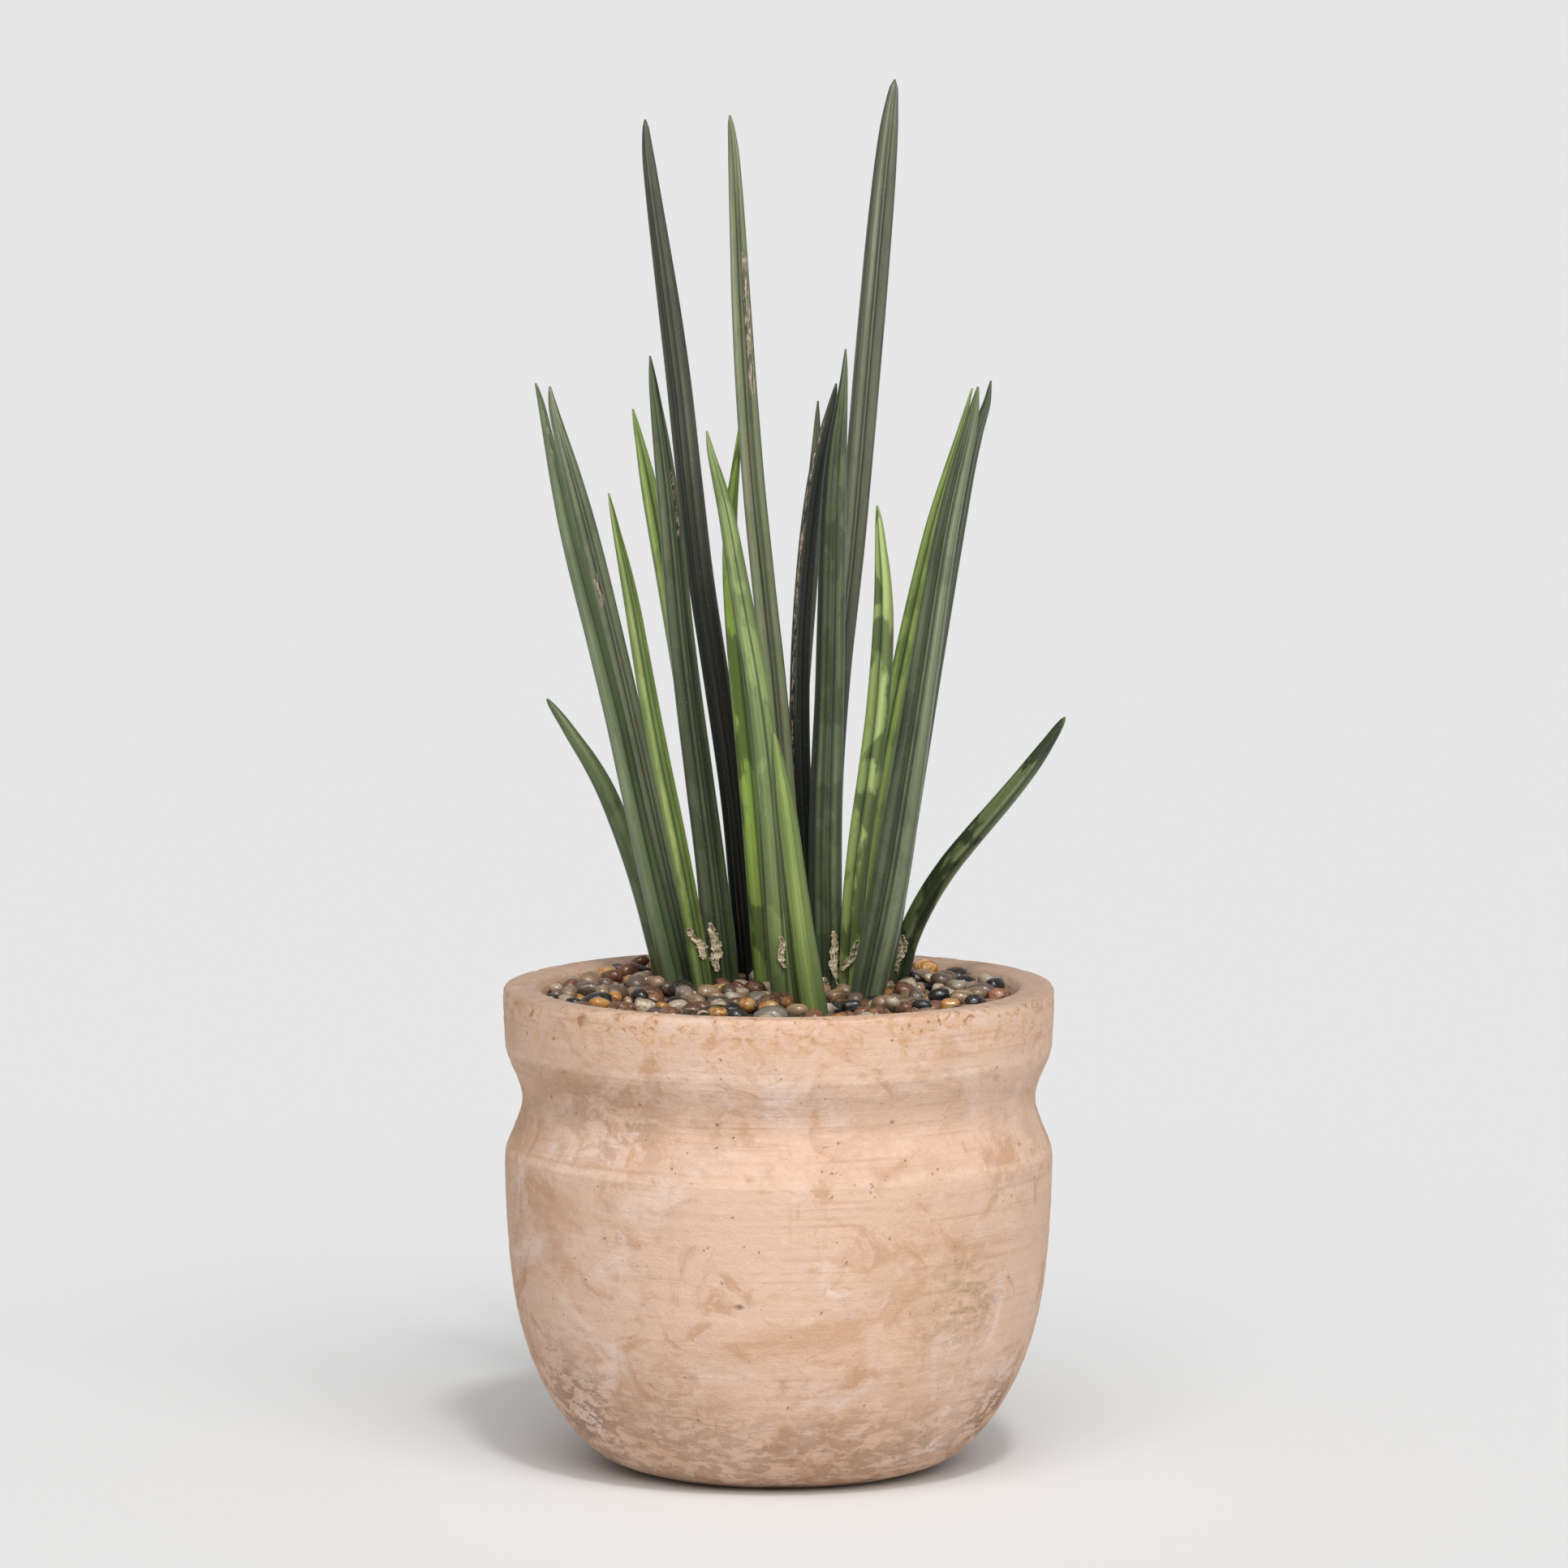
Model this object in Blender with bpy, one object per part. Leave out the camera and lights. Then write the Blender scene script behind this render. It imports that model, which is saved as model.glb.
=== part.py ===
"""Snake plant with round, channelled leaves, growing in a necked terracotta pot topped with river pebbles.

Metres, +Z up.  The origin is the middle of the pot's foot, on the surface it stands on.
The plant is seen best along +Y, with +X to the right.  Sizes below are in millimetres.
"""

import math

import bmesh
import bpy
from mathutils import Matrix, Vector, noise

MM = 0.001
GAP = 0.4

# Pot
POT_HEIGHT = 220.0
RIM_RADIUS = 125.0
RIM_EDGE = 3.0
MOUTH_RADIUS = 107.7
MOUTH_EDGE = 4.0
FLOOR_HEIGHT = 15.0
FOOT_RADIUS = 64.0
DRAIN_RADIUS = 9.0
POT_SIDES = 40

# Below the rim band: the hollow neck, the shoulder and the rounded belly, as (radius, height).
NECK = ((124.0, 192), (122.0, 186), (118.2, 178), (116.2, 171), (116.4, 165), (119.2, 157), (124.0, 146))
BELLY = ((124.2, 138), (123.2, 112), (119.6, 76), (110.5, 45), (96.5, 21), (81.0, 6), (FOOT_RADIUS, 0))
INSIDE = ((103.5, 190), (102.0, 168), (108.0, 142), (108.0, 112), (104.0, 76), (94.0, 48), (74.0, 24))

# Filling
SOIL_TOP = 197.0
BED_TOP = 210.0
BED_LUMP = 1.6
BED_RINGS = 5
BED_SIDES = 32

# Leaves
LEAF_SIDES = 10
LEAF_RINGS = 12
CHANNEL_DEPTH = 0.36
CHANNEL_LIP = 0.05
LEAF_BASE = 188.8
LEAF_BASE_NARROWING = 0.8
POCKET_TOP = 222.0
POCKET_DEPTH = 2.0

# Every leaf: the bearing, in degrees from +X, of the channel up its inner face, and its stations
# (x, y, z, width) from the pebbles to the tip.
LEAVES = {
    "leaf_left_front": (
        -40,
        (
            (-47, 31, 214, 9.4), (-60, 24, 272, 9.0), (-76, 13, 348, 8.6),
            (-94.5, -1, 424, 7.2), (-106, -9, 481, 3.2), (-109, -12, 493, 0.8),
        ),
    ),
    "leaf_left_back": (
        -75,
        (
            (-40, 43, 214, 9.6), (-52, 43, 268, 10.0), (-69, 43, 344, 10.2),
            (-88.5, 43, 425, 10.2), (-102, 44, 476, 4.4), (-104, 44, 488, 0.8),
        ),
    ),
    "leaf_left_young": (
        -20,
        (
            (-34, 26, 214, 8.6), (-43, 16, 268, 8.6), (-56, 0, 335, 8.4),
            (-66, -16, 395, 6.6), (-73, -26, 430, 3.2), (-76, -30, 445, 0.8),
        ),
    ),
    "leaf_left_low": (
        60,
        (
            (-51, 54, 213, 8.4), (-64, 66, 260, 8.2), (-80, 80, 300, 7.2),
            (-96, 90, 325, 4.8), (-107, 96, 340, 0.8),
        ),
    ),
    "leaf_inner_left": (
        -35,
        (
            (-25, 38, 214, 14.4), (-31, 34, 270, 13.0), (-43, 25, 366, 11.2),
            (-50, 17, 440, 9.2), (-56, 12, 487, 4.4), (-58, 10, 504, 0.8),
        ),
    ),
    "leaf_inner_left_young": (
        -60,
        (
            (-25, 56, 214, 9.6), (-31, 60, 268, 8.8), (-40, 66, 328, 8.6),
            (-49, 72, 381, 8.2), (-59, 79, 437, 7.4), (-67, 84, 475, 0.8),
        ),
    ),
    "leaf_tall_left": (
        -150,
        (
            (-13, 62, 213, 11.8), (-22, 64, 307, 11.4), (-36, 67, 400, 11.4),
            (-47, 70, 498, 10.6), (-59, 73, 586, 5.8), (-61, 74, 608, 0.8),
        ),
    ),
    "leaf_centre_young": (
        90,
        (
            (-6, 33, 213, 9.4), (-13, 38, 300, 9.0), (-21, 45, 384, 7.2),
            (-22, 48, 424, 6.0), (-19, 51, 456, 3.0), (-18, 52, 469, 0.8),
        ),
    ),
    "leaf_centre_front": (
        100,
        (
            (3, 2, 213, 12.6), (-3.5, -11, 300, 11.8), (-9, -22, 352, 10.8),
            (-15, -28, 388, 9.6), (-24, -39, 440, 6.6), (-29, -43, 459, 4.0),
            (-32, -46, 474, 0.8),
        ),
    ),
    "leaf_tall_centre": (
        -70,
        (
            (8, 29, 214, 11.0), (0, 26, 333, 10.8), (-10.5, 24, 435, 10.2),
            (-16, 22, 510, 9.2), (-20, 20, 590, 5.4), (-22, 20, 612, 0.8),
        ),
    ),
    "leaf_front_low": (
        110,
        (
            (15, -50, 214, 12.0), (11.5, -53, 236, 11.4), (7, -60, 272, 9.6),
            (2, -69, 312, 8.0), (-2, -76, 342, 0.8),
        ),
    ),
    "leaf_inner_right": (
        -100,
        (
            (22, 20, 214, 12.8), (21, 12, 282, 14.4), (23, 2, 356, 12.6),
            (25, -12, 446, 10.4), (29, -19, 492, 3.8), (30, -22, 509, 0.8),
        ),
    ),
    "leaf_dark_front": (
        -60,
        (
            (15.5, 40, 214, 9.6), (10.5, 34.5, 295, 9.0), (10, 28, 370, 8.4),
            (16, 22, 442, 7.4), (24, 19, 480, 4.0), (26, 18, 491, 0.8),
        ),
    ),
    "leaf_dark_back": (
        -40,
        (
            (9, 53, 214, 9.0), (7, 61, 300, 8.4), (10, 67, 350, 8.2),
            (16, 75, 430, 7.4), (18, 80, 479, 0.8),
        ),
    ),
    "leaf_tall_right": (
        -60,
        (
            (22, 52, 214, 12.6), (24, 58, 320, 11.8), (34, 66, 420, 11.6),
            (43, 74, 524, 11.8), (50, 80, 600, 8.8), (53, 82, 626, 0.8),
        ),
    ),
    "leaf_right_young": (
        -120,
        (
            (32, 13, 214, 9.0), (35, 3, 270, 9.8), (44, -12, 340, 9.9),
            (47, -26, 392, 8.4), (45, -34, 430, 3.6), (44, -36, 440, 0.8),
        ),
    ),
    "leaf_right_slim": (
        -110,
        (
            (33, 30, 214, 7.8), (41, 33, 277, 8.4), (54, 37, 350, 8.8),
            (69, 42, 420, 6.4), (82, 45, 465, 3.4), (88, 46, 487, 0.8),
        ),
    ),
    "leaf_right_broad": (
        -125,
        (
            (39.5, -4, 214, 14.6), (49.5, -8, 262, 15.8), (61, -15, 335, 13.4),
            (74.5, -26, 424, 10.2), (86, -32, 477, 5.4), (89, -34, 493, 0.8),
        ),
    ),
    "leaf_right_back": (
        -20,
        (
            (47, 24, 216, 9.6), (57, 24, 280, 9.6), (72, 23, 372, 8.2),
            (86.5, 22, 455, 6.4), (93.5, 22, 479, 4.0), (96, 22, 492, 0.8),
        ),
    ),
    "leaf_right_arched": (
        150,
        (
            (53.5, 44, 213, 9.4), (59.5, 37, 238, 8.8), (75.5, 25, 269, 8.6),
            (106.5, 7, 309, 7.4), (120, -2, 328, 5.4), (129, -8, 342, 0.8),
        ),
    ),
}

# Underground stems: middle (x, y), half length, half width, and the bearing of the length, in degrees.
RHIZOMES = {
    "rhizome_left": (-40, 38, 18, 9, 105),
    "rhizome_back": (-16, 55, 13, 9, 60),
    "rhizome_middle": (-2, 17, 18, 8, 107),
    "rhizome_front": (13, -42, 15, 9, 105),
    "rhizome_centre_right": (16, 38, 21, 9, 95),
    "rhizome_right": (43, 20, 28, 12, 75),
}
RHIZOME_TOP = 187.0
RHIZOME_MIDDLE = 178.0
RHIZOME_HALF_HEIGHT = 11.0

# Larger stones on the pebble bed: middle (x, y), length, breadth, height, bearing in degrees.
PEBBLES = (
    (-45, -34, 10, 8, 6, 10),
    (-43, 1, 11, 9, 8, 100),
    (-26, 19, 11, 7, 7, 0),
    (-27, -20, 11, 7, 6, 5),
    (-17, 14, 8, 7, 6, 20),
    (-59, 6, 14, 8, 7, 10),
    (-87, 14, 13, 9, 8, 0),
    (-95, 33, 11, 9, 8, 40),
    (-79, 62, 12, 9, 9, 70),
    (-87, 49, 9, 8, 8, 90),
    (-55, 80, 14, 10, 7, 0),
    (-21, -52, 9, 8, 7, 30),
    (-29, -44, 11, 7, 5, 0),
    (-39, -53, 11, 8, 7, 0),
    (-70, -32, 15, 7, 5, 170),
    (0, -15, 12, 9, 7, 150),
    (-9, -5, 10, 8, 6, 0),
    (-4, -50, 10, 9, 8, 0),
    (26, -8, 11, 7, 8, 60),
    (33, -42, 10, 8, 7, 0),
    (47, -33, 11, 9, 8, 20),
    (55, 21, 8, 6, 6, 0),
    (67, 48, 15, 10, 9, 145),
    (68, 70, 13, 10, 11, 60),
    (52, 86, 11, 7, 6, 0),
    (75, 2, 11, 8, 7, 10),
    (83, 27, 14, 9, 7, 170),
    (98, 19, 11, 9, 9, 60),
    (62, -15, 9, 7, 8, 90),
    (77, -28, 9, 7, 6, 0),
)
PEBBLE_SINK = 0.7

COLOURS = {
    "terracotta": ((0.62, 0.43, 0.31, 1.0), 0.85),
    "soil": ((0.045, 0.03, 0.02, 1.0), 0.95),
    "rhizome": ((0.55, 0.42, 0.24, 1.0), 0.7),
    "gravel": ((0.24, 0.19, 0.15, 1.0), 0.45),
    "stone_pale": ((0.58, 0.50, 0.40, 1.0), 0.35),
    "stone_warm": ((0.42, 0.24, 0.11, 1.0), 0.35),
    "stone_dark": ((0.06, 0.055, 0.055, 1.0), 0.3),
    "leaf_dark": ((0.045, 0.075, 0.04, 1.0), 0.4),
    "leaf_bright": ((0.15, 0.26, 0.05, 1.0), 0.4),
}
BRIGHT_LEAVES = ("young", "slim", "arched", "front_low")
STONE_ORDER = ("stone_pale", "stone_warm", "stone_dark", "stone_warm", "stone_pale", "stone_dark")


def clear_scene():
    for item in list(bpy.data.objects):
        bpy.data.objects.remove(item, do_unlink=True)


def make_material(name):
    colour, roughness = COLOURS[name]
    material = bpy.data.materials.new(name)
    material.use_nodes = True
    shader = material.node_tree.nodes["Principled BSDF"]
    shader.inputs["Base Color"].default_value = colour
    shader.inputs["Roughness"].default_value = roughness
    shader.inputs["Metallic"].default_value = 0.0
    material.diffuse_color = colour
    return material


def finish_object(name, shape, material):
    """Turns a bmesh in millimetres into a named object in metres."""
    bmesh.ops.scale(shape, vec=(MM, MM, MM), verts=shape.verts)
    bmesh.ops.recalc_face_normals(shape, faces=shape.faces)
    mesh = bpy.data.meshes.new(name)
    shape.to_mesh(mesh)
    shape.free()
    mesh.shade_smooth()
    mesh.set_sharp_from_angle(angle=math.radians(40))
    mesh.materials.append(material)
    item = bpy.data.objects.new(name, mesh)
    bpy.context.scene.collection.objects.link(item)
    return item


def smooth_route(points, steps):
    """Catmull-Rom curve through the points, with the given number of steps between each two."""
    points = [Vector(p) for p in points]
    padded = [2 * points[0] - points[1], *points, 2 * points[-1] - points[-2]]
    route = []
    for i in range(1, len(padded) - 2):
        before, start, end, after = padded[i - 1 : i + 3]
        for step in range(steps):
            t = step / steps
            bend = 2 * before - 5 * start + 4 * end - after
            twist = 3 * start - before - 3 * end + after
            route.append(start + 0.5 * (t * (end - before) + t * t * bend + t**3 * twist))
    route.append(points[-1])
    return route


def arc(centre, radius, start, end, steps):
    """Points on a circle in the profile's plane, from one bearing to another, in degrees."""
    points = []
    for step in range(steps + 1):
        angle = math.radians(start + (end - start) * step / steps)
        points.append(Vector((centre[0] + radius * math.cos(angle), centre[1] + radius * math.sin(angle))))
    return points


def turned(profile, sides):
    """A ring-shaped solid: the closed profile of (radius, height) turned about Z."""
    shape = bmesh.new()
    corners = [shape.verts.new((radius, 0, height)) for radius, height in profile]
    edges = [shape.edges.new((corners[i - 1], corners[i])) for i in range(len(corners))]
    bmesh.ops.spin(
        shape,
        geom=corners + edges,
        axis=(0, 0, 1),
        cent=(0, 0, 0),
        angle=math.tau,
        steps=sides,
        use_merge=True,
    )
    return shape


def pot_profile():
    outer_edge = arc((RIM_RADIUS - RIM_EDGE, POT_HEIGHT - RIM_EDGE), RIM_EDGE, 90, 0, 2)
    inner_edge = arc((MOUTH_RADIUS + MOUTH_EDGE, POT_HEIGHT - MOUTH_EDGE), MOUTH_EDGE, 180, 90, 2)
    outside = smooth_route(NECK, 1) + smooth_route(BELLY, 2)
    inside = smooth_route(INSIDE[::-1], 1)
    base = [(DRAIN_RADIUS, 0), (DRAIN_RADIUS, FLOOR_HEIGHT), (INSIDE[-1][0] - 24, FLOOR_HEIGHT)]
    return [tuple(p) for p in outer_edge + outside] + base + [tuple(p) for p in inside + inner_edge]


def inner_radius(height):
    """Radius of the pot's hollow at a height."""
    wall = ((MOUTH_RADIUS, POT_HEIGHT - MOUTH_EDGE), *INSIDE)
    for (upper, top), (lower, bottom) in zip(wall, wall[1:]):
        if height >= bottom:
            return lower + (upper - lower) * (height - bottom) / (top - bottom)
    return INSIDE[-1][0]


def build_pot(material):
    return finish_object("pot", turned(pot_profile(), POT_SIDES), material)


def raise_cap(shape, cap):
    """Extrudes the cap that closes a solid's end, and returns the new cap."""
    closed = len(shape.faces) > 1
    grown = bmesh.ops.extrude_face_region(shape, geom=[cap])["geom"]
    if closed:
        bmesh.ops.delete(shape, geom=[cap], context="FACES_ONLY")
    return next(part for part in grown if isinstance(part, bmesh.types.BMFace))


def disc(radii_heights, sides):
    """A closed solid of rings stacked from the bottom upwards, capped at both ends."""
    shape = bmesh.new()
    radius, height = radii_heights[0]
    bmesh.ops.create_circle(shape, cap_ends=True, segments=sides, radius=radius)
    bmesh.ops.translate(shape, vec=(0, 0, height), verts=shape.verts)
    top = shape.faces[:][0]
    for next_radius, next_height in radii_heights[1:]:
        top = raise_cap(shape, top)
        factor = next_radius / radius
        bmesh.ops.scale(shape, vec=(factor, factor, 1), verts=top.verts)
        bmesh.ops.translate(shape, vec=(0, 0, next_height - height), verts=top.verts)
        radius, height = next_radius, next_height
    return shape


def leaf_stations(route):
    """Stations from the rhizome to the tip, as (place, width), closer together near the tip."""
    first, second = Vector(route[0][:3]), Vector(route[1][:3])
    slope = (second - first) / (second.z - first.z)
    base = first + slope * (LEAF_BASE - first.z)
    curve = smooth_route([(*base, route[0][3] * LEAF_BASE_NARROWING), *route], 12)
    travelled = [0.0]
    for near, far in zip(curve, curve[1:]):
        travelled.append(travelled[-1] + (far.xyz - near.xyz).length)
    chosen = []
    for ring in range(LEAF_RINGS + 1):
        wanted = travelled[-1] * math.sin(0.5 * math.pi * ring / LEAF_RINGS)
        after = next((i for i, length in enumerate(travelled) if length > wanted), len(curve) - 1)
        share = (wanted - travelled[after - 1]) / (travelled[after] - travelled[after - 1])
        point = curve[after - 1].lerp(curve[after], share)
        chosen.append((point.xyz, max(point.w, route[-1][3])))
    return chosen


def section(width, bearing, along, channel_depth):
    """One cross-section of a leaf: round, with a V channel cut in the side that faces the bearing."""
    inward = Vector((math.cos(math.radians(bearing)), math.sin(math.radians(bearing)), 0))
    inward = (inward - along * inward.dot(along)).normalized()
    side = along.cross(inward)
    points = []
    for corner in range(LEAF_SIDES):
        angle = math.tau * corner / LEAF_SIDES
        radius = 0.5 * width
        if corner == 0:
            radius *= 1 - channel_depth
        elif corner in (1, LEAF_SIDES - 1):
            radius *= 1 + CHANNEL_LIP
        points.append(radius * (math.cos(angle) * inward + math.sin(angle) * side))
    return points


def loft(stations, bearing, channel_depth):
    """A leaf-shaped solid: a foot circle extruded from station to station."""
    shape = bmesh.new()
    bmesh.ops.create_circle(shape, cap_ends=True, segments=LEAF_SIDES, radius=1.0)
    cap = shape.faces[:][0]
    for number, (place, width) in enumerate(stations):
        if number:
            cap = raise_cap(shape, cap)
        before = stations[max(number - 1, 0)][0]
        after = stations[min(number + 1, len(stations) - 1)][0]
        along = (after - before).normalized()
        outline = section(width, bearing, along, channel_depth)
        for corner, offset in zip(cap.verts, outline):
            corner.co = place + offset
    return shape


def pocket_stations(stations):
    """The straight, buried part of a leaf, widened by the gap, from just under its foot to above the bed."""
    (first, first_width), (second, second_width) = stations[:2]
    along = (second - first) / (second - first).length
    pocket = []
    for height in (LEAF_BASE - POCKET_DEPTH, POCKET_TOP):
        share = (height - first.z) / (second.z - first.z)
        width = first_width + (second_width - first_width) * share
        wide = (width * (1 + CHANNEL_LIP) + 2 * GAP) / math.cos(math.pi / LEAF_SIDES)
        pocket.append((first + along * ((height - first.z) / along.z), wide))
    return pocket


def build_leaf(name, material):
    bearing, route = LEAVES[name]
    return finish_object(name, loft(leaf_stations(route), bearing, CHANNEL_DEPTH), material)


def rhizome_shape(place, grow):
    """A knobbly underground stem lying flat, with a flattened top that the leaves stand on."""
    x, y, half_length, half_width, bearing = place
    shape = bmesh.new()
    bmesh.ops.create_icosphere(shape, subdivisions=2, radius=1.0)
    size = (half_length + grow, half_width + grow, RHIZOME_HALF_HEIGHT + grow)
    bmesh.ops.scale(shape, vec=size, verts=shape.verts)
    cut = RHIZOME_TOP - RHIZOME_MIDDLE + grow
    for corner in shape.verts:
        corner.co.z = min(corner.co.z, cut)
    turn = Matrix.Rotation(math.radians(bearing), 4, "Z")
    bmesh.ops.dissolve_limit(shape, angle_limit=math.radians(1), verts=shape.verts, edges=shape.edges)
    bmesh.ops.transform(shape, matrix=Matrix.Translation((x, y, RHIZOME_MIDDLE)) @ turn, verts=shape.verts)
    return shape


def as_cutter(name, shape):
    cutter = finish_object(name, shape, None)
    cutter.hide_render = True
    cutter.display_type = "WIRE"
    return cutter


def cut_from(item, cutters):
    for cutter in cutters:
        modifier = item.modifiers.new(cutter.name, "BOOLEAN")
        modifier.operation = "DIFFERENCE"
        modifier.solver = "EXACT"
        modifier.object = cutter


def build_soil(material):
    """Potting soil filling the pot, a gap short of its wall."""
    heights = [FLOOR_HEIGHT + GAP] + [h for _, h in reversed(INSIDE)] + [SOIL_TOP]
    rings = [(inner_radius(h) - 3 * GAP, h) for h in heights]
    rings[0] = (INSIDE[-1][0] - 24 - GAP, heights[0])
    return finish_object("potting_soil", disc(rings, POT_SIDES), material)


def bed_height(x, y):
    """Height of the pebble bed's lumpy top."""
    return BED_TOP + BED_LUMP * noise.noise(Vector((x, y, 0)) / 11)


def build_pebble_bed(material):
    """The layer of small pebbles, as one lumpy slab over the soil."""
    bottom = SOIL_TOP + GAP
    outer = inner_radius(bottom) - 2 * GAP
    rings = [(outer, bottom), (outer, BED_TOP)]
    for ring in range(1, BED_RINGS):
        rings.append((outer * (1 - ring / BED_RINGS), BED_TOP))
    shape = disc(rings, BED_SIDES)
    for corner in shape.verts:
        if corner.co.z > bottom + 1:
            corner.co.z = bed_height(corner.co.x, corner.co.y)
    return finish_object("pebble_bed", shape, material)


def build_pebble(number, place, material):
    """A water-worn stone: a flattened ball, a little squared and lumpy."""
    x, y, length, breadth, height, bearing = place
    shape = bmesh.new()
    bmesh.ops.create_icosphere(shape, subdivisions=2, radius=1.0)
    for corner in shape.verts:
        lump = 1 + 0.12 * noise.noise(corner.co * 1.3 + Vector((number * 7.1, 0, 0)))
        corner.co *= lump
    bmesh.ops.scale(shape, vec=(length / 2, breadth / 2, height / 2), verts=shape.verts)
    rest = BED_TOP + BED_LUMP + height / 2 - PEBBLE_SINK
    turn = Matrix.Rotation(math.radians(bearing), 4, "Z")
    bmesh.ops.transform(shape, matrix=Matrix.Translation((x, y, rest)) @ turn, verts=shape.verts)
    return finish_object(f"pebble_{number:02d}", shape, material)


def main():
    clear_scene()
    materials = {name: make_material(name) for name in COLOURS}
    build_pot(materials["terracotta"])
    soil = build_soil(materials["soil"])
    bed = build_pebble_bed(materials["gravel"])

    rhizome_cutters = []
    for name, place in RHIZOMES.items():
        finish_object(name, rhizome_shape(place, 0), materials["rhizome"])
        rhizome_cutters.append(as_cutter("cutter_" + name, rhizome_shape(place, 1.5 * GAP)))

    pockets = []
    for name, (bearing, route) in LEAVES.items():
        bright = any(word in name for word in BRIGHT_LEAVES)
        build_leaf(name, materials["leaf_bright" if bright else "leaf_dark"])
        stations = pocket_stations(leaf_stations(route))
        pockets.append(as_cutter("pocket_" + name, loft(stations, bearing, 0)))

    cut_from(soil, rhizome_cutters + pockets)
    cut_from(bed, pockets)

    for number, place in enumerate(PEBBLES, 1):
        build_pebble(number, place, materials[STONE_ORDER[number % len(STONE_ORDER)]])


main()
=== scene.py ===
"""Finish for the potted snake plant: leaves with grooved, streaked skin, weathered clay, wet river
pebbles and dry leaf sheaths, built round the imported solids.  Metres, +Z up, +X to the viewer's right.
"""

import math
import random

import bmesh
import bpy
import numpy as np
from mathutils import Matrix, Vector, noise


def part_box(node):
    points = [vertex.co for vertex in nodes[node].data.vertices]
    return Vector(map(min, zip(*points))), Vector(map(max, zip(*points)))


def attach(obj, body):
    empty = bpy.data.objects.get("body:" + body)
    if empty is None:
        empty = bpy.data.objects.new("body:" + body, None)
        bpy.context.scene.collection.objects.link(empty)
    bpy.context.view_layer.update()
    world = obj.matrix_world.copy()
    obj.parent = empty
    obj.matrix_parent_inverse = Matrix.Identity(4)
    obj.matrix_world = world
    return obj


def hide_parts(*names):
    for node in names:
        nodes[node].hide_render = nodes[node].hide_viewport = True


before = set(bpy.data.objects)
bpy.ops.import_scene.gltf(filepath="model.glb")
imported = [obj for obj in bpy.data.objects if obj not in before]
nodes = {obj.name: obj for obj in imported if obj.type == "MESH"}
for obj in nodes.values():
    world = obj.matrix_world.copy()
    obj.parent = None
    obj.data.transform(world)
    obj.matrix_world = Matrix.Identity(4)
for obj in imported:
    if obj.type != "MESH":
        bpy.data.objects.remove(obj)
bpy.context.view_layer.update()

# Camera, and the lamps as (strength, spread, bearing from +X, climb above the floor), angles in degrees.
CAMERA_PLACE = (0.0024, -4.2, 0.768)
CAMERA_DIP = 6.21
CAMERA_LENS = 214.64
SKY_STRENGTH = 0.33
FRONT_LAMP = (1.68, 52, -90, 48)
SIDE_LAMP = (0.62, 36, -52, 31)
SPARK_LAMP = (0.85, 6, -78, 54)
FLOOR_SIZE = 160.0
FLOOR_COLOUR = (0.775, 0.775, 0.775, 1)

# Pot: sides and row height of its fine mesh, how far its surface strays, and where its neck lies.
POT_SIDES = 240
POT_ROW = 0.0015
WOBBLE = 0.0004
THROWING_LINES = 0.00016
BEAD_HEIGHT = 0.0003
RIM_WEAR = 0.0007
NECK_TOP = 0.194
NECK_BOTTOM = 0.146
BEADS = (NECK_TOP - 0.0015, NECK_BOTTOM)

# Marks on the clay: the middle of each, and how far it reaches.
NECK_STAIN = ((-0.070, -0.088, 0.172), 0.052)
LEFT_SCUFF = ((-0.088, -0.055, 0.030), 0.060)
RIGHT_SCUFF = ((0.094, -0.040, 0.030), 0.042)
WARM_PATCH = ((0.066, -0.100, 0.100), 0.062)
FOOT_STAIN = ((0.030, -0.090, 0.012), 0.060)
BELLY_STAIN = ((-0.045, -0.100, 0.045), 0.045)
MOSS_PATCH = ((0.083, -0.088, 0.088), 0.036)
NICK = ((-0.0175, -0.1205, 0.0912), 0.0030)

# Leaves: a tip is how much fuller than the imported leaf, how far down it is blunted, and the power of the
# curve it closes on.
BLADE_SIDES = 72
BLADE_ROWS = 90
CHANNEL_DEPTH = 0.40
CHANNEL_WIDTH = 0.40
RIB_HEIGHT = 0.003
USUAL_TIP = (1.04, 0.018, 0.55)
# Near-black green: the painted shade in the grooves and channel, and the colour of the dark specks.
GROOVE_SHADE_AND_SPECK = (0.012, 0.016, 0.010)

# Pebbles: the bed's surface is worked out on a square grid.
GRID = 0.001
BED_REACH = 0.1068
BED_FLOOR = 0.1985
BED_TOP = 0.2138
BED_HEAP = 0.050
BED_RIPPLE = 0.0009
LEAF_EXIT = 0.212
SMALL_STONE = 0.0074
SETTLING = 0.16
LOWER_STONES = 480
UPPER_STONES = 800
PLACES_TRIED = 14
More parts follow.
